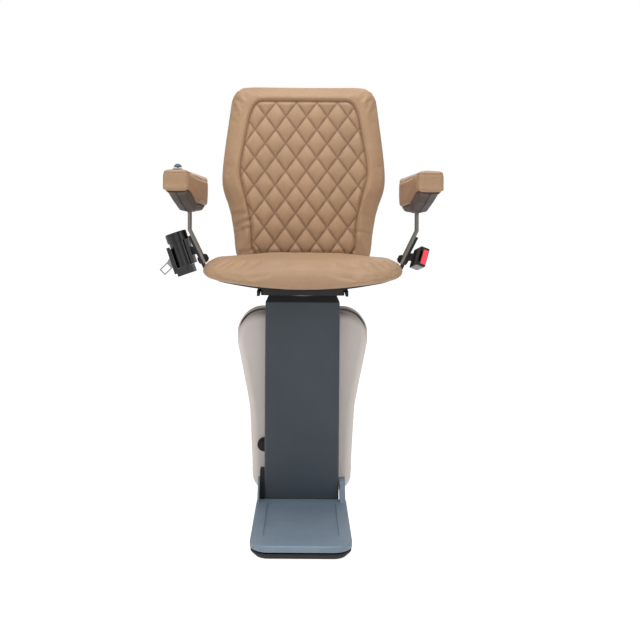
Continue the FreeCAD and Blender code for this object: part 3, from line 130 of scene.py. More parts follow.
for light_name, (place, aim, side, power) in LIGHTS.items():
    soft_light(light_name, place, aim, side, power)

WHITE_BEHIND = 1.0
SKY_LIGHT = 0.24
world = bpy.data.worlds.new("white_room")
world.use_nodes = True
scene.world = world
world_nodes, world_links = world.node_tree.nodes, world.node_tree.links
world_nodes.clear()
seen_white = world_nodes.new("ShaderNodeBackground")
seen_white.inputs["Strength"].default_value = WHITE_BEHIND
room_light = world_nodes.new("ShaderNodeBackground")
room_light.inputs["Strength"].default_value = SKY_LIGHT
for background in (seen_white, room_light):
    background.inputs["Color"].default_value = (1, 1, 1, 1)
ray_kind = world_nodes.new("ShaderNodeLightPath")
world_mix = world_nodes.new("ShaderNodeMixShader")
world_out = world_nodes.new("ShaderNodeOutputWorld")
world_links.new(ray_kind.outputs["Is Camera Ray"], world_mix.inputs["Fac"])
world_links.new(room_light.outputs["Background"], world_mix.inputs[1])
world_links.new(seen_white.outputs["Background"], world_mix.inputs[2])
world_links.new(world_mix.outputs["Shader"], world_out.inputs["Surface"])
scene.view_settings.view_transform = "Standard"
print(len(LIGHTS), "lights and a white room")

# %% [markdown]
# ## Shader groups
# Four effects return in many finishes, so each is a node group with named sockets: a fine grain for
# moulded plastic and powder paint, leather pores with creases, brushed lines for metal, and slow
# uneven patches from handling and dust. A group puts out values only; the shader stays in the material.

# %% A helper for groups
def new_group(name, inputs, outputs):
    """An empty shader group with float sockets; gives the tree, its input node and its output node."""
    tree = bpy.data.node_groups.new(name, "ShaderNodeTree")
    for label, value in inputs.items():
        socket = tree.interface.new_socket(label, in_out="INPUT", socket_type="NodeSocketFloat")
        socket.default_value = value
    for label in outputs:
        tree.interface.new_socket(label, in_out="OUTPUT", socket_type="NodeSocketFloat")
    return tree, tree.nodes.new("NodeGroupInput"), tree.nodes.new("NodeGroupOutput")


def math_node(tree, operation, first, second):
    """A Math node; each side is a number or a socket."""
    node = tree.nodes.new("ShaderNodeMath")
    node.operation = operation
    for place, value in enumerate((first, second)):
        if isinstance(value, (int, float)):
            node.inputs[place].default_value = value
        else:
            tree.links.new(value, node.inputs[place])
    return node.outputs["Value"]


def noise_node(tree, vector, scale, detail=4.0, roughness=0.55):
    """A Noise texture of that scale, a number or a socket."""
    node = tree.nodes.new("ShaderNodeTexNoise")
    node.inputs["Detail"].default_value = detail
    node.inputs["Roughness"].default_value = roughness
    tree.links.new(vector, node.inputs["Vector"])
    if isinstance(scale, (int, float)):
        node.inputs["Scale"].default_value = scale
    else:
        tree.links.new(scale, node.inputs["Scale"])
    return node.outputs["Fac"]


def object_place(tree):
    """Object coordinates."""
    return tree.nodes.new("ShaderNodeTexCoord").outputs["Object"]


# %% Fine grain
grain, grain_in, grain_out = new_group("fine_grain", {"Scale": 900.0}, ["Height"])
grain_place = object_place(grain)
fine = noise_node(grain, grain_place, grain_in.outputs["Scale"], 3.0)
coarse_scale = math_node(grain, "MULTIPLY", grain_in.outputs["Scale"], 0.31)
coarse = noise_node(grain, grain_place, coarse_scale, 2.0)
grain.links.new(math_node(grain, "ADD", fine, coarse), grain_out.inputs["Height"])

# %% Leather pores and creases
leather, leather_in, leather_out = new_group(
    "leather_pores", {"Scale": 620.0, "Crease Scale": 26.0}, ["Height", "Valley", "Crease"])
leather_place = object_place(leather)
bend = leather.nodes.new("ShaderNodeTexNoise")
bend.inputs["Scale"].default_value = 180.0
leather.links.new(leather_place, bend.inputs["Vector"])
bend_small = leather.nodes.new("ShaderNodeVectorMath")
bend_small.operation = "SCALE"
bend_small.inputs["Scale"].default_value = 0.0022
leather.links.new(bend.outputs["Color"], bend_small.inputs[0])
bent_place = leather.nodes.new("ShaderNodeVectorMath")
leather.links.new(leather_place, bent_place.inputs[0])
leather.links.new(bend_small.outputs["Vector"], bent_place.inputs[1])
pores = leather.nodes.new("ShaderNodeTexVoronoi")
pores.feature = "DISTANCE_TO_EDGE"
leather.links.new(bent_place.outputs["Vector"], pores.inputs["Vector"])
leather.links.new(leather_in.outputs["Scale"], pores.inputs["Scale"])
valley = leather.nodes.new("ShaderNodeMapRange")
valley.inputs["From Max"].default_value = 0.09
valley.inputs["To Min"].default_value = 1.0
valley.inputs["To Max"].default_value = 0.0
leather.links.new(pores.outputs["Distance"], valley.inputs["Value"])
creases = noise_node(leather, leather_place, leather_in.outputs["Crease Scale"], 6.0, 0.62)
crease_line = math_node(leather, "ABSOLUTE", math_node(leather, "SUBTRACT", creases, 0.5), 0.0)
crease_mask = leather.nodes.new("ShaderNodeMapRange")
crease_mask.inputs["From Max"].default_value = 0.035
crease_mask.inputs["To Min"].default_value = 1.0
crease_mask.inputs["To Max"].default_value = 0.0
leather.links.new(crease_line, crease_mask.inputs["Value"])
pore_height = math_node(leather, "MULTIPLY", valley.outputs["Result"], -1.0)
fold_height = math_node(leather, "MULTIPLY", crease_mask.outputs["Result"], -0.8)
leather.links.new(math_node(leather, "ADD", pore_height, fold_height), leather_out.inputs["Height"])
leather.links.new(valley.outputs["Result"], leather_out.inputs["Valley"])
leather.links.new(crease_mask.outputs["Result"], leather_out.inputs["Crease"])

# %% Brushed lines and uneven patches
brushed, brushed_in, brushed_out = new_group(
    "brushed_lines", {"Along X": 1.0, "Along Y": 1.0, "Along Z": 1.0}, ["Height"])
stretch = brushed.nodes.new("ShaderNodeCombineXYZ")
for axis in "XYZ":
    brushed.links.new(brushed_in.outputs["Along " + axis], stretch.inputs[axis])
stretched = brushed.nodes.new("ShaderNodeVectorMath")
stretched.operation = "MULTIPLY"
brushed.links.new(object_place(brushed), stretched.inputs[0])
brushed.links.new(stretch.outputs["Vector"], stretched.inputs[1])
line_height = noise_node(brushed, stretched.outputs["Vector"], 1.0, 5.0, 0.7)
brushed.links.new(line_height, brushed_out.inputs["Height"])

patches, patches_in, patches_out = new_group(
    "uneven_patches", {"Scale": 14.0, "Sharpness": 3.0}, ["Mask"])
patch_noise = noise_node(patches, object_place(patches), patches_in.outputs["Scale"], 5.0, 0.6)
centred = math_node(patches, "SUBTRACT", patch_noise, 0.5)
sharper = math_node(patches, "MULTIPLY", centred, patches_in.outputs["Sharpness"])
patch_mask = patches.nodes.new("ShaderNodeClamp")
patches.links.new(math_node(patches, "ADD", sharper, 0.5), patch_mask.inputs["Value"])
patches.links.new(patch_mask.outputs["Result"], patches_out.inputs["Mask"])
print("groups:", [group.name for group in bpy.data.node_groups])

# %% [markdown]
# ## Finishes
# Each finish is one material with a Principled shader. The colours are measured from the
# photograph and given as sRGB, then turned to linear values, because shaders work in linear light.
# Plastic and powder paint get grain; leather gets pores, creases and a slow change of tone;
# metal gets brushed lines in its bump and roughness.

# %% A helper for finishes
def linear(red, green, blue):
    """sRGB from 0 to 255 as a linear colour."""
    shares = [value / 255 for value in (red, green, blue)]
    return [share / 12.92 if share <= 0.04045 else ((share + 0.055) / 1.055) ** 2.4 for share in shares]


def new_finish(name, colour, roughness, metallic=0.0, specular=0.5, coat=0.0, sheen=0.0):
    """A material with a Principled shader whose even values are set on its own sockets."""
    material = bpy.data.materials.new(name)
    material.use_nodes = True
    shader = material.node_tree.nodes["Principled BSDF"]
    shader.inputs["Base Color"].default_value = (*linear(*colour), 1)
    shader.inputs["Roughness"].default_value = roughness
    shader.inputs["Metallic"].default_value = metallic
    shader.inputs["Specular IOR Level"].default_value = specular
    shader.inputs["Coat Weight"].default_value = coat
    shader.inputs["Coat Roughness"].default_value = 0.12
    shader.inputs["Sheen Weight"].default_value = sheen
    return material


def use_group(material, group, **values):
    """Places a shader group in a material with its own values."""
    node = material.node_tree.nodes.new("ShaderNodeGroup")
    node.node_tree = group
    for label, value in values.items():
        node.inputs[label.replace("_", " ")].default_value = value
    return node


def add_bump(material, height, distance, strength=1.0, first=None):
    """A Bump node from a height to the shader's normal; first is an earlier bump that it adds to."""
    bump = material.node_tree.nodes.new("ShaderNodeBump")
    bump.inputs["Distance"].default_value = distance
    bump.inputs["Strength"].default_value = strength
    links = material.node_tree.links
    links.new(height, bump.inputs["Height"])
    if first is not None:
        links.new(first.outputs["Normal"], bump.inputs["Normal"])
    links.new(bump.outputs["Normal"], material.node_tree.nodes["Principled BSDF"].inputs["Normal"])
    return bump


def vary_colour(material, mask, low, high):
    """Base colour between two sRGB colours by a mask."""
    ramp = material.node_tree.nodes.new("ShaderNodeMix")
    ramp.data_type = "RGBA"
    ramp.inputs["A"].default_value = (*linear(*low), 1)
    ramp.inputs["B"].default_value = (*linear(*high), 1)
    links = material.node_tree.links
    links.new(mask, ramp.inputs["Factor"])
    shader = material.node_tree.nodes["Principled BSDF"]
    links.new(ramp.outputs["Result"], shader.inputs["Base Color"])
    return ramp


def vary_roughness(material, mask, low, high):
    """Roughness between two values by a mask."""
    spread = material.node_tree.nodes.new("ShaderNodeMapRange")
    spread.inputs["To Min"].default_value = low
    spread.inputs["To Max"].default_value = high
    links = material.node_tree.links
    links.new(mask, spread.inputs["Value"])
    links.new(spread.outputs["Result"], material.node_tree.nodes["Principled BSDF"].inputs["Roughness"])


def shade(colour, share):
    """A darker or lighter version of an sRGB colour."""
    return tuple(min(255, value * share) for value in colour)


def grained(name, colour, roughness, scale, depth, spread=0.06, patch_scale=9.0, **kind):
    """Moulded plastic or powder paint: grain, a slow change of tone, and roughness that follows it."""
    material = new_finish(name, colour, roughness, **kind)
    grain_node = use_group(material, grain, Scale=scale)
    add_bump(material, grain_node.outputs["Height"], depth)
    patch_node = use_group(material, patches, Scale=patch_scale, Sharpness=1.6)
    mask = patch_node.outputs["Mask"]
    vary_colour(material, mask, shade(colour, 1 - spread), shade(colour, 1 + spread))
    vary_roughness(material, patch_node.outputs["Mask"], roughness + 0.07, roughness - 0.05)
    return material


# %% Plastics and paints
LEG_BLUE = (66, 75, 83)
# The footplate has the leg's paint; its colour is lifted far above the leg's as painted light, for the light
# its upward face catches.
FOOT_BLUE_PAINTED_LIGHT = (132, 149, 165)
HOUSING_WHITE = (238, 227, 220)
finishes = {
    "leg_paint": grained("leg_paint", LEG_BLUE, 0.46, 1500.0, 0.00005),
    "foot_grey": grained("foot_grey", FOOT_BLUE_PAINTED_LIGHT, 0.40, 1300.0, 0.00006),
    "white_plastic": grained("white_plastic", HOUSING_WHITE, 0.42, 1100.0, 0.00004, spread=0.025),
    "black_plastic": grained("black_plastic", (27, 25, 24), 0.52, 1000.0, 0.00009),
    "black_steel": grained("black_steel", (36, 35, 36), 0.42, 1600.0, 0.00004),
    "nylon": grained("nylon", (58, 57, 60), 0.55, 700.0, 0.00005),
    "battery_case": grained("battery_case", (44, 46, 52), 0.5, 800.0, 0.00008),
    "motor_metal": grained("motor_metal", (38, 38, 41), 0.36, 900.0, 0.00006, metallic=0.3),
    "gearbox_metal": grained("gearbox_metal", (122, 122, 126), 0.5, 420.0, 0.0002, spread=0.1, metallic=0.8),
    "stick_grey": grained("stick_grey", (186, 188, 192), 0.38, 1200.0, 0.00004),
    "stick_blue": grained("stick_blue", (92, 98, 112), 0.48, 900.0, 0.00008),
    "underside": grained("underside", (62, 47, 37), 0.66, 850.0, 0.00022, spread=0.12, sheen=0.15),
}
gloss = new_finish("gloss_black", (20, 19, 19), 0.2, coat=0.5)
gloss_patches = use_group(gloss, patches, Scale=22.0, Sharpness=1.4)
vary_roughness(gloss, gloss_patches.outputs["Mask"], 0.26, 0.17)
gloss_grain = use_group(gloss, grain, Scale=600.0)
add_bump(gloss, gloss_grain.outputs["Height"], 0.00002)
finishes["gloss_black"] = gloss
red = new_finish("red", (250, 70, 88), 0.3, coat=0.4)
red_patches = use_group(red, patches, Scale=60.0, Sharpness=1.2)
vary_colour(red, red_patches.outputs["Mask"], (246, 62, 80), (253, 82, 98))
add_bump(red, use_group(red, grain, Scale=900.0).outputs["Height"], 0.00003)
# Painted light: the red button glows a little by emission, though it is no lamp, so it reads as a brightly
# lit spot.
red_glow_shader = red.node_tree.nodes["Principled BSDF"]
red_glow_shader.inputs["Emission Color"].default_value = (*linear(255, 64, 84), 1)
red_glow_shader.inputs["Emission Strength"].default_value = 0.3
finishes["red"] = red
print(len(finishes), "plastics and paints")

# %% Metals
def brushed_metal(name, colour, roughness, along):
    """Metal with fine lines along one axis: the noise is squeezed across that axis."""
    material = new_finish(name, colour, roughness, metallic=1.0)
    lines = use_group(material, brushed, **along)
    add_bump(material, lines.outputs["Height"], 0.00004)
    vary_roughness(material, lines.outputs["Height"], roughness - 0.08, roughness + 0.1)
    patch_node = use_group(material, patches, Scale=18.0, Sharpness=1.5)
    vary_colour(material, patch_node.outputs["Mask"], shade(colour, 0.9), shade(colour, 1.06))
    return material


LINES_UP = {"Along_X": 900.0, "Along_Y": 900.0, "Along_Z": 14.0}
LINES_ROUND = {"Along_X": 500.0, "Along_Y": 900.0, "Along_Z": 500.0}
finishes["steel"] = brushed_metal("steel", (182, 180, 178), 0.3, LINES_ROUND)
finishes["arm_steel"] = brushed_metal("arm_steel", (150, 143, 136), 0.38, LINES_UP)
print("steel and arm_steel are brushed")

# %% The control board
board = new_finish("board", (24, 92, 54), 0.38, coat=0.3)
tracks = board.node_tree.nodes.new("ShaderNodeTexBrick")
tracks.inputs["Scale"].default_value = 160.0
tracks.inputs["Mortar Size"].default_value = 0.05
tracks.inputs["Color1"].default_value = (*linear(24, 92, 54), 1)
tracks.inputs["Color2"].default_value = (*linear(20, 80, 47), 1)
tracks.inputs["Mortar"].default_value = (*linear(120, 150, 84), 1)
board.node_tree.links.new(object_place(board.node_tree), tracks.inputs["Vector"])
board_shader = board.node_tree.nodes["Principled BSDF"]
board.node_tree.links.new(tracks.outputs["Color"], board_shader.inputs["Base Color"])
finishes["board"] = board

# %% [markdown]
# ## Leather
# The tan leather has small rounded pores, finer than a millimetre and a half, and its colour is darkened
# where it sinks into a seam, as painted shade. A seam is modelled in the mesh, and each cushion keeps a
# number per vertex, named "seam", that says how deep the vertex lies in one. The material reads it, so that
# the painted shade follows the quilting exactly. The pore valleys and creases are darkened as painted shade
# too.

# %% Leather material
LEATHER_TAN = (188, 152, 118)
# The dark brown that seams, pore valleys and creases are mixed towards is painted shade.
LEATHER_SEAM_SHADE = (112, 76, 48)
tan = new_finish("leather", LEATHER_TAN, 0.42, specular=0.5, sheen=0.04)
tan_links = tan.node_tree.links
tan_shader = tan.node_tree.nodes["Principled BSDF"]
tan_pores = use_group(tan, leather, Scale=720.0, Crease_Scale=30.0)
tan_patches = use_group(tan, patches, Scale=7.0, Sharpness=1.8)
tan_mask = tan_patches.outputs["Mask"]
even_tone = vary_colour(tan, tan_mask, shade(LEATHER_TAN, 0.94), shade(LEATHER_TAN, 1.05))
# Painted shade: the colour is darkened in seams, pore valleys and creases, where shade falls.
seam_shade_depth = tan.node_tree.nodes.new("ShaderNodeAttribute")
seam_shade_depth.attribute_name = "seam"
seam_share = math_node(tan.node_tree, "MULTIPLY", seam_shade_depth.outputs["Fac"], 0.75)
pore_shade_share = math_node(tan.node_tree, "MULTIPLY", tan_pores.outputs["Valley"], 0.13)
crease_shade_share = math_node(tan.node_tree, "MULTIPLY", tan_pores.outputs["Crease"], 0.05)
painted_shade_share = math_node(tan.node_tree, "ADD", math_node(tan.node_tree, "ADD", seam_share, pore_shade_share),
                       crease_shade_share)
painted_shade_mix = tan.node_tree.nodes.new("ShaderNodeMix")
painted_shade_mix.data_type = "RGBA"
painted_shade_mix.inputs["B"].default_value = (*linear(*LEATHER_SEAM_SHADE), 1)
tan_links.new(painted_shade_share, painted_shade_mix.inputs["Factor"])
tan_links.new(even_tone.outputs["Result"], painted_shade_mix.inputs["A"])
tan_links.new(painted_shade_mix.outputs["Result"], tan_shader.inputs["Base Color"])
vary_roughness(tan, tan_patches.outputs["Mask"], 0.48, 0.38)
add_bump(tan, tan_pores.outputs["Height"], 0.00016)
finishes["leather"] = tan

thread = new_finish("thread", (150, 110, 74), 0.6, sheen=0.2)
add_bump(thread, use_group(thread, grain, Scale=2600.0).outputs["Height"], 0.0001)
thread_patches = use_group(thread, patches, Scale=40.0, Sharpness=1.4)
vary_colour(thread, thread_patches.outputs["Mask"], (140, 101, 66), (163, 122, 84))
print("leather and thread are made")

# %% [markdown]
# ## Paint the CAD nodes
# The record says which material slot each node takes, so a loop gives every node its finish.

# %% Paint the CAD nodes
slot_of = {row["node"]: row["material_slot"] for row in frame["record"]["subparts"]}
for node_name, node in nodes.items():
    node.data.materials.clear()
    node.data.materials.append(finishes[slot_of[node_name]])
print(len(nodes), "nodes painted")

# %% [markdown]
# ## Floor
# The floor is a wide pale sheet just under the underpan. Most of its glow is seen by the camera only and
# lifts it to the white of the room; a small share also lights the chair from below, like a pale floor.

# %% Floor
FLOOR_SIDE = 60.0
FLOOR_GAP = 0.0005
FLOOR_GLOW = 0.62
FLOOR_BOUNCE = 0.26
floor_mesh = bmesh.new()
bmesh.ops.create_grid(floor_mesh, x_segments=1, y_segments=1, size=FLOOR_SIDE / 2)
bmesh.ops.translate(floor_mesh, verts=floor_mesh.verts, vec=(0, 0, cad_low.z - FLOOR_GAP))
floor_data = bpy.data.meshes.new("floor")
floor_mesh.to_mesh(floor_data)
floor_mesh.free()
floor = bpy.data.objects.new("floor", floor_data)
scene.collection.objects.link(floor)
floor_finish = new_finish("pale_floor", (236, 236, 236), 0.9, specular=0.1)
floor_shader = floor_finish.node_tree.nodes["Principled BSDF"]
floor_shader.inputs["Emission Color"].default_value = (1, 1, 1, 1)
glow_ray = floor_finish.node_tree.nodes.new("ShaderNodeLightPath").outputs["Is Camera Ray"]
glow = math_node(floor_finish.node_tree, "MULTIPLY", glow_ray, FLOOR_GLOW)
glow = math_node(floor_finish.node_tree, "ADD", glow, FLOOR_BOUNCE)
floor_finish.node_tree.links.new(glow, floor_shader.inputs["Emission Strength"])
floor_data.materials.append(floor_finish)
print("floor at", round(cad_low.z - FLOOR_GAP, 4))

# %% [markdown]
# ## Padded pieces
# A cushion is foam in a sewn cover, so it swells where it is free and keeps its size where it is held.
# The way here is the same for most of them: take a plain closed form, mostly the CAD solid's own mesh,
# turn it into even small quads with a voxel remesh, let Blender's Cloth press air into it for twenty
# frames, and limit how far any point may move. The result is a mesh, with no simulation left on it.

# %% Tools for padded pieces
PUFF_FRAMES = 20


def piece_from(mesh, name, finish):
    """A new object of that mesh, at the origin, with one finish."""
    piece = bpy.data.objects.new(name, mesh)
    scene.collection.objects.link(piece)
    mesh.name = name
    mesh.materials.clear()
    mesh.materials.append(finishes[finish] if finish in finishes else bpy.data.materials[finish])
    return piece


def settled(piece):
    """Applies all of a piece's modifiers to its mesh."""
    made = bpy.data.meshes.new_from_object(piece.evaluated_get(bpy.context.evaluated_depsgraph_get()))
    piece.modifiers.clear()
    old, piece.data = piece.data, made
    bpy.data.meshes.remove(old)
    return piece


def even_copy(node_name, name, finish, voxel):
    """A copy of a CAD solid in even quads of that voxel size."""
    mesh = nodes[node_name].data.copy()
    merged = bmesh.new()
    merged.from_mesh(mesh)
    bmesh.ops.remove_doubles(merged, verts=merged.verts, dist=0.00001)
    merged.to_mesh(mesh)
    merged.free()
    piece = piece_from(mesh, name, finish)
    remesh = piece.modifiers.new("even_quads", "REMESH")
    remesh.mode = "VOXEL"
    remesh.voxel_size = voxel
    remesh.use_smooth_shade = True
    return settled(piece)


def corners(piece):
    """The places of a mesh's vertices as an array."""
    places = np.zeros(len(piece.data.vertices) * 3, np.float32)
    piece.data.vertices.foreach_get("co", places)
    return places.reshape(-1, 3).astype(float)


def outward(piece):
    """The vertex normals as an array."""
    normals = np.zeros(len(piece.data.vertices) * 3, np.float32)
    piece.data.vertex_normals.foreach_get("vector", normals)
    return normals.reshape(-1, 3).astype(float)


def move_corners(piece, places):
    """Gives a mesh's vertices new places."""
    piece.data.vertices.foreach_set("co", places.astype(np.float32).ravel())
    piece.data.update()


def puff(piece, pressure, cap, held=None):
    """Swells a closed mesh with Cloth; held is a share per vertex from 0, free, to 1, fixed."""
    before = corners(piece)
    cloth = piece.modifiers.new("swell", "CLOTH")
    cloth.settings.use_pressure = True
    cloth.settings.uniform_pressure_force = pressure
    cloth.settings.effector_weights.gravity = 0
    cloth.settings.quality = 4
    cloth.settings.tension_stiffness = 12
    cloth.settings.compression_stiffness = 12
    cloth.settings.bending_stiffness = 1.5
    cloth.point_cache.frame_start = 1
    cloth.point_cache.frame_end = PUFF_FRAMES
    if held is not None:
        group = piece.vertex_groups.new(name="held")
        for share in np.unique(np.round(held, 1)):
            if share > 0:
                chosen = np.nonzero(np.round(held, 1) == share)[0]
                group.add([int(i) for i in chosen], float(share), "REPLACE")
        cloth.settings.vertex_group_mass = "held"
    for frame_number in range(1, PUFF_FRAMES + 1):
        scene.frame_set(frame_number)
    settled(piece)
    step = corners(piece) - before
    reach = np.linalg.norm(step, axis=1, keepdims=True)
    step *= np.minimum(1.0, cap / np.maximum(reach, 1e-9))
    move_corners(piece, before + step)
    scene.frame_set(1)
    most = float(np.linalg.norm(step, axis=1).max())
    print(piece.name, "swelled by up to", round(most * 1000, 1), "mm")
    return piece


def finer(piece):
    """One smooth subdivision, applied."""
    smooth = piece.modifiers.new("smooth", "SUBSURF")
    smooth.levels = smooth.render_levels = 1
    settled(piece)
    piece.data.polygons.foreach_set("use_smooth", [True] * len(piece.data.polygons))
    return piece


def ramp_up(values, start, end):
    """Smooth rise from 0 at start to 1 at end."""
    share = np.clip((values - start) / (end - start), 0, 1)
    return share * share * (3 - 2 * share)


def keep_seam_shade(piece, depth):
    """Stores how deep each vertex lies in a seam, for the painted shade in the leather's colour."""
    attribute = piece.data.attributes.new("seam", "FLOAT", "POINT")
    attribute.data.foreach_set("value", np.clip(depth, 0, 1).astype(np.float32))


def line_distance(places, points):
    """Distance in a plane from each place to a closed line of points; both are (n, 2)."""
    nearest = np.full(len(places), 1e9)
    for start, end in zip(points, points[1:] + points[:1]):
        start, end = np.array(start), np.array(end)
        along = end - start
        share = np.clip(((places - start) @ along) / (along @ along), 0, 1)
        gap = np.linalg.norm(places - start - share[:, None] * along, axis=1)
        nearest = np.minimum(nearest, gap)
    return nearest


def inside_line(places, points):
    """True for the places inside a closed line of points."""
    crossing = np.zeros(len(places), bool)
    for (x0, z0), (x1, z1) in zip(points, points[1:] + points[:1]):
        spans = (z0 > places[:, 1]) != (z1 > places[:, 1])
        level = x0 + (places[:, 1] - z0) / (z1 - z0 + 1e-12) * (x1 - x0)
        crossing ^= spans & (places[:, 0] < level)
    return crossing


# %% [markdown]
# ## Backrest cushion
# The backrest is a leather shell of one hand's breadth round a quilted panel. The panel is sewn through
# the foam along two sets of slanted lines, so each diamond stands as a small pillow, and a seam with a
# thin welt runs round it.
# The plain cushion is swelled first. The quilting is carved after that, because a remesh would lose it:
# each vertex moves by a height that is worked out from its distance to the nearest stitch line.

# %% The backrest's own axes
BACK_FOOT = Vector((0, -0.0374, 0.3182))
BACK_LEAN = math.radians(7.7)
back_axes = Matrix.Translation(BACK_FOOT) @ Matrix.Rotation(-BACK_LEAN, 4, "X")


def in_back(places):
    """Places in the backrest's axes: across, depth from its front face, height above its foot."""
    turn = np.array(back_axes.inverted())
    return places @ turn[:3, :3].T + turn[:3, 3]


def from_back(places):
    """The way back from the backrest's axes."""
    turn = np.array(back_axes)
    return places @ turn[:3, :3].T + turn[:3, 3]


# %% The backrest's outline and the quilted panel's
def rounded_line(points, radius, steps=6):
    """A closed outline with its corners rounded."""
    line = []
    count = len(points)
    for index, corner in enumerate(points):
        corner = Vector(corner)
        before, after = Vector(points[index - 1]), Vector(points[(index + 1) % count])
        back, forth = (before - corner), (after - corner)
        reach = min(radius, back.length * 0.45, forth.length * 0.45)
        start, end = corner + back.normalized() * reach, corner + forth.normalized() * reach
        for step in range(steps + 1):
            share = step / steps
            line.append(tuple(start.lerp(corner, share).lerp(corner.lerp(end, share), share)))
    return line


def both_sides(right):
    """The right side of an outline and its mirrored left side, as one closed line."""
    return right + [(-across, up) for across, up in reversed(right)]


PANEL_RIGHT = [(0.133, 0.018), (0.135, 0.093), (0.142, 0.133), (0.166, 0.225), (0.165, 0.262),
               (0.142, 0.393), (0.125, 0.428)]
panel_line = rounded_line(both_sides(PANEL_RIGHT), 0.034)
BACK_RIGHT = [(0.1745, 0.0), (0.1815, 0.087), (0.1925, 0.1435), (0.2172, 0.205), (0.2108, 0.297),
              (0.188, 0.474)]
back_line = rounded_line(both_sides(BACK_RIGHT), 0.040)
print("panel outline has", len(panel_line), "points")

# %% The backrest's plain cushion
BACK_THICK = 0.050
BACK_VOXEL = 0.0042
blank = bmesh.new()
ring = [blank.verts.new((across, 0.0, up)) for across, up in back_line]
face = blank.faces.new(ring)
pushed = bmesh.ops.extrude_face_region(blank, geom=[face])
far_side = [item for item in pushed["geom"] if isinstance(item, bmesh.types.BMVert)]
bmesh.ops.translate(blank, verts=far_side, vec=(0, BACK_THICK, 0))
front_edges = [edge for edge in blank.edges if all(vert.co.y < 0.001 for vert in edge.verts)]
bmesh.ops.bevel(blank, geom=front_edges, offset=0.019, offset_type="OFFSET", affect="EDGES", segments=6,
                profile=0.5, material=-1)
bmesh.ops.recalc_face_normals(blank, faces=blank.faces)
bmesh.ops.transform(blank, matrix=back_axes, verts=blank.verts)
blank_mesh = bpy.data.meshes.new("backrest_blank")
blank.to_mesh(blank_mesh)
blank.free()
backrest = piece_from(blank_mesh, "backrest_leather", "leather")
even = backrest.modifiers.new("even_quads", "REMESH")
even.mode = "VOXEL"
even.voxel_size = BACK_VOXEL
settled(backrest)
local = in_back(corners(backrest))
puff(backrest, 3.0, 0.007, held=ramp_up(local[:, 1], 0.020, 0.040))
finer(backrest)
print("backrest cushion:", len(backrest.data.vertices), "vertices")

# %% The quilting
DIAMOND_WIDE = 0.054
DIAMOND_TALL = 0.074
QUILT_CROSSING = (0.007, 0.239)
PILLOW_RISE = 0.0075
PILLOW_START = -0.0048
SEAM_WIDE = 0.0042
SEAM_DEEP = 0.0042
PILLOW_FULLNESS = 0.42
RIM_FADE = 0.010
INNER_SEAM_SHARE = 0.3
STITCH_SHADE_WIDE = 0.16
WELT_SHADE_WIDE = 0.0022

local = in_back(corners(backrest))
flat = local[:, [0, 2]]
facing = ramp_up(-local[:, 1], -0.024, -0.006)
edge_gap = line_distance(flat, panel_line)
inside = inside_line(flat, panel_line)
across = (flat[:, 0] - QUILT_CROSSING[0]) / DIAMOND_WIDE
up = (flat[:, 1] - QUILT_CROSSING[1]) / DIAMOND_TALL
row_share = np.abs(np.sin(np.pi * (across + up)))
column_share = np.abs(np.sin(np.pi * (across - up)))
pillow = (row_share * column_share) ** PILLOW_FULLNESS
at_rim = ramp_up(edge_gap, 0.0, RIM_FADE)
quilt_height = np.where(inside, PILLOW_START + PILLOW_RISE * pillow * at_rim, 0.0) * facing
seam_share_here = np.where(inside, INNER_SEAM_SHARE, 1.0)
seam_dip = np.exp(-(edge_gap / SEAM_WIDE) ** 2) * SEAM_DEEP * facing * seam_share_here
forward = quilt_height - seam_dip
local[:, 1] -= forward
move_corners(backrest, from_back(local))
# Painted shade: the stitch lines and the welt seam darken the leather's colour through the stored seam
# depth.
stitch_line = np.minimum(row_share, column_share)
quilt_line_shade = np.where(inside, np.exp(-(stitch_line / STITCH_SHADE_WIDE) ** 2), 0.0) * facing
welt_line_shade = np.exp(-(edge_gap / WELT_SHADE_WIDE) ** 2) * facing
keep_seam_shade(backrest, quilt_line_shade * 0.75 + welt_line_shade * 0.9)
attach(backrest, "seat")
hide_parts("backrest_cushion")
print("quilting rises by", round(float(forward.max()) * 1000, 1), "mm")

# %% [markdown]
# ## Wrinkles and stitches on the backrest
# Leather that bends at the backrest's waist folds into a few short creases that run inwards and up.
# Each is one soft dent with a low lip beside it, so a loop over a few listed places makes them all.
# The stitches are real thread: one small bar is copied along the seam, which stays light, because a bar
# has only a few faces.

# %% Creases at the waist
# across, height above the foot, slope, length and depth of each crease
WAIST_CREASES = [(-0.181, 0.128, 0.10, 0.030, 0.0022), (-0.176, 0.098, 0.42, 0.042, 0.0034),
                 (-0.172, 0.080, 0.36, 0.036, 0.0026), (-0.168, 0.022, 0.40, 0.030, 0.0022),
                 (0.170, 0.078, -0.20, 0.030, 0.0022), (0.184, 0.120, -0.15, 0.026, 0.0014)]
CREASE_WIDE = 0.0052
CREASE_BOW = 3.0
LIP_SHARE = 0.5
LIP_AWAY = 0.009
LIP_WIDE = 0.006
CREASE_FRONT = (-0.040, -0.010)
local = in_back(corners(backrest))
for middle, height, slope, length, depth in WAIST_CREASES:
    turn = math.atan(slope)
    along = (local[:, 0] - middle) * math.cos(turn) + (local[:, 2] - height) * math.sin(turn)
    beside = -(local[:, 0] - middle) * math.sin(turn) + (local[:, 2] - height) * math.cos(turn)
    beside = beside + along * along * CREASE_BOW
    lip = LIP_SHARE * np.exp(-((beside - LIP_AWAY) / LIP_WIDE) ** 2)
    dent = np.exp(-(beside / CREASE_WIDE) ** 2) - lip
    dent *= np.exp(-(along / length) ** 2) * depth * ramp_up(-local[:, 1], *CREASE_FRONT)
    local[:, 1] += dent
move_corners(backrest, from_back(local))
print(len(WAIST_CREASES), "creases pressed in")

# %% Threads along a line
STITCH_LONG = 0.0042
STITCH_STEP = 0.0062
STITCH_THICK = 0.0007
STITCH_FLATNESS = 0.8
STITCH_END_SLOPE = 0.35
SHORTEST_SIDE = 1e-9


def nearest_front(tree, place, towards):
    """The point of a surface that a ray meets, and its normal; both None where it misses."""
    return tree.ray_cast(place, towards)[:2]


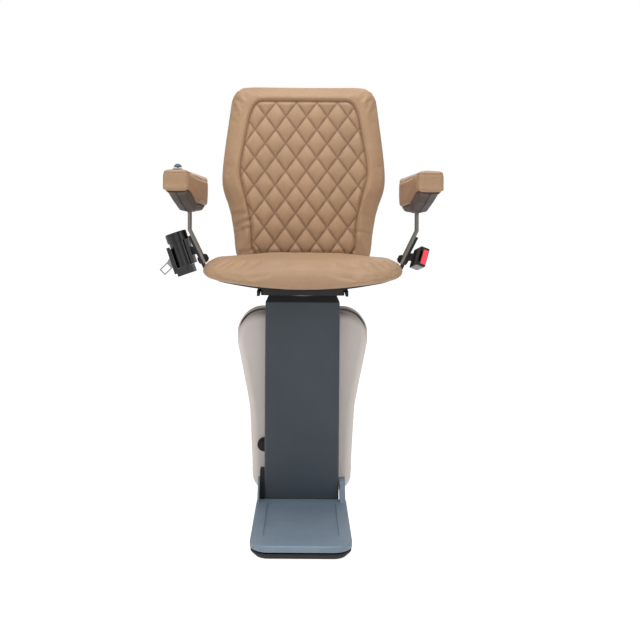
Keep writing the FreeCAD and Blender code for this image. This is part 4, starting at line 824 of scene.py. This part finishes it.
def stitches(name, spots, body):
    """Short bars of thread; spots holds the middle, the direction and the outward normal of each."""
    row = bmesh.new()
    for middle, along, out in spots:
        side = along.cross(out).normalized()
        axes = Matrix((side, along.normalized(), out)).transposed().to_4x4()
        bar_size = Matrix.Diagonal((STITCH_THICK, STITCH_LONG, STITCH_THICK * STITCH_FLATNESS, 1))
        bar_place = Matrix.Translation(middle) @ axes @ bar_size
        bar = bmesh.ops.create_cube(row, size=1.0, matrix=bar_place)
        top = [vert for vert in bar["verts"] if (vert.co - middle).dot(out) > 0]
        for vert in top:
            vert.co += (middle - vert.co).project(along) * STITCH_END_SLOPE
    mesh = bpy.data.meshes.new(name)
    row.to_mesh(mesh)
    row.free()
    piece = piece_from(mesh, name, "thread")
    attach(piece, body)
    print(name, "has", len(spots), "stitches")
    return piece


def evenly(points, step):
    """Places and directions at even steps along a closed line of 2D points."""
    spots, left = [], step / 2
    for start, end in zip(points, points[1:] + points[:1]):
        start, end = Vector(start), Vector(end)
        length = (end - start).length
        if length < SHORTEST_SIDE:
            continue
        way = (end - start) / length
        while left < length:
            spots.append((start + way * left, way))
            left += step
        left -= length
    return spots


def surface_of(piece):
    """A tree of a mesh's faces, for rays."""
    return BVHTree.FromObject(piece, bpy.context.evaluated_depsgraph_get())


# %% Stitches beside the panel's seam
TOPSTITCH_GAP = 0.0058
THREAD_LIFT = 0.0001
RAY_START = 0.05


def grown_line(points, margin):
    """A closed line moved outwards by a margin."""
    grown = []
    count = len(points)
    for index in range(count):
        before, after = Vector(points[index - 1]), Vector(points[(index + 1) % count])
        way = (after - before).normalized()
        grown.append(tuple(Vector(points[index]) + Vector((way.y, -way.x)) * margin))
    return grown


back_tree = surface_of(backrest)
turn_back = back_axes.to_3x3()
spots = []
for place, way in evenly(grown_line(panel_line, TOPSTITCH_GAP), STITCH_STEP):
    start = back_axes @ Vector((place.x, -RAY_START, place.y))
    hit, normal = nearest_front(back_tree, start, turn_back @ Vector((0, 1, 0)))
    if hit is not None:
        along = (turn_back @ Vector((way.x, 0, way.y))).normalized()
        along = (along - normal * along.dot(normal)).normalized()
        spots.append((hit + normal * THREAD_LIFT, along, normal))
panel_stitches = stitches("panel_stitches", spots, "seat")

# %% [markdown]
# ## Seat cushion
# The seat is one leather cover over moulded foam: a broad crown, a soft front roll and a rim that is
# pulled down to the pan. The CAD solid has this form already, so its own mesh is swelled a little.
# The underside is held, because the pan carries it there.

# %% Seat cushion
SEAT_VOXEL = 0.0050
SEAT_WAVE = 0.0009
seat = even_copy("seat_cushion", "seat_leather", "leather", SEAT_VOXEL)
puff(seat, 3.0, 0.006, held=ramp_up(-outward(seat)[:, 2], 0.05, 0.45))
finer(seat)
places = corners(seat)
on_top = ramp_up(outward(seat)[:, 2], 0.2, 0.8)
wave = np.sin(places[:, 0] * 43 + 1.3) * np.sin(places[:, 1] * 37)
places[:, 2] += SEAT_WAVE * wave * on_top
move_corners(seat, places)
keep_seam_shade(seat, np.zeros(len(places)))
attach(seat, "seat_folding")
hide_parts("seat_cushion")
print("seat cushion:", len(seat.data.vertices), "vertices")

# %% [markdown]
# ## Armrests
# Each armrest is a leather sleeve over foam with a line of stitching under its upper edge, a rolled
# lip at the front, and a dark lining closed by a seam along its keel.
# Left and right are made by the same function, from their own CAD solids. The lining isn't swelled,
# because it is drawn tight over the pad's keel.

# %% Armrest sleeves and linings
SLEEVE_VOXEL = 0.0036
LINING_VOXEL = 0.0034
ARM_EDGE = 0.0075
FRONT_TOP = 0.5315
STITCHED_GROOVE = (0.0016, 0.0011)
LIP_LEVEL, LIP_TALL, LIP_OUT = 0.491, 0.006, 0.0022
KEEL_STEPS = 60
KEEL_STEP = 0.0052
KEEL_START = 0.008
KEEL_BELOW = 0.3
WELT_RADIUS = 0.0011


def armrest(side):
    """The leather sleeve, its stitch line, the dark lining and its middle seam."""
    body = "arm_" + side
    pad_low, pad_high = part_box("armrest_pad_" + side)
    sleeve = even_copy("armrest_pad_" + side, "armrest_leather_" + side, "leather", SLEEVE_VOXEL)
    puff(sleeve, 2.2, 0.0035)
    finer(sleeve)
    places = corners(sleeve)
    top_fall = (pad_high.z - FRONT_TOP) * ramp_up(-places[:, 1], -0.30, -0.05)
    line_height = pad_high.z - ARM_EDGE - top_fall
    groove_wide, groove_deep = STITCHED_GROOVE
    groove = np.exp(-((places[:, 2] - line_height) / groove_wide) ** 2)
    groove = groove * (np.abs(outward(sleeve)[:, 2]) < 0.75)
    lip = np.exp(-((places[:, 2] - LIP_LEVEL) / LIP_TALL) ** 2) * ramp_up(-places[:, 1], 0.330, 0.344)
    places -= outward(sleeve) * (groove * groove_deep)[:, None]
    places[:, 1] -= lip * LIP_OUT
    move_corners(sleeve, places)
    # Painted shade: the stitched groove darkens the leather's colour.
    keep_seam_shade(sleeve, groove * 0.55)
    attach(sleeve, body)
    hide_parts("armrest_pad_" + side)
    lining = even_copy("armrest_underside_" + side, "armrest_lining_" + side, "underside", LINING_VOXEL)
    finer(lining)
    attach(lining, body)
    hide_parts("armrest_underside_" + side)
    tree = surface_of(lining)
    middle = (pad_low.x + pad_high.x) / 2
    seam = []
    for step in range(KEEL_STEPS):
        depth = pad_low.y + KEEL_START + step * KEEL_STEP
        hit, _ = nearest_front(tree, Vector((middle, depth, KEEL_BELOW)), Vector((0, 0, 1)))
        if hit is not None:
            seam.append(hit)
    welt = bpy.data.curves.new("lining_welt_" + side, "CURVE")
    welt.dimensions = "3D"
    welt.bevel_depth = WELT_RADIUS
    welt.bevel_resolution = 2
    line = welt.splines.new("NURBS")
    line.points.add(len(seam) - 1)
    for point, place in zip(line.points, seam):
        point.co = (*place, 1)
    line.use_endpoint_u = True
    line.order_u = 3
    holder = bpy.data.objects.new("welt_curve_" + side, welt)
    scene.collection.objects.link(holder)
    mesh = bpy.data.meshes.new_from_object(holder.evaluated_get(bpy.context.evaluated_depsgraph_get()))
    bpy.data.objects.remove(holder)
    seam_piece = piece_from(mesh, "lining_welt_" + side, "black_plastic")
    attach(seam_piece, body)
    print(side, "armrest:", len(sleeve.data.vertices), "vertices")


for arm_side in ("left", "right"):
    armrest(arm_side)
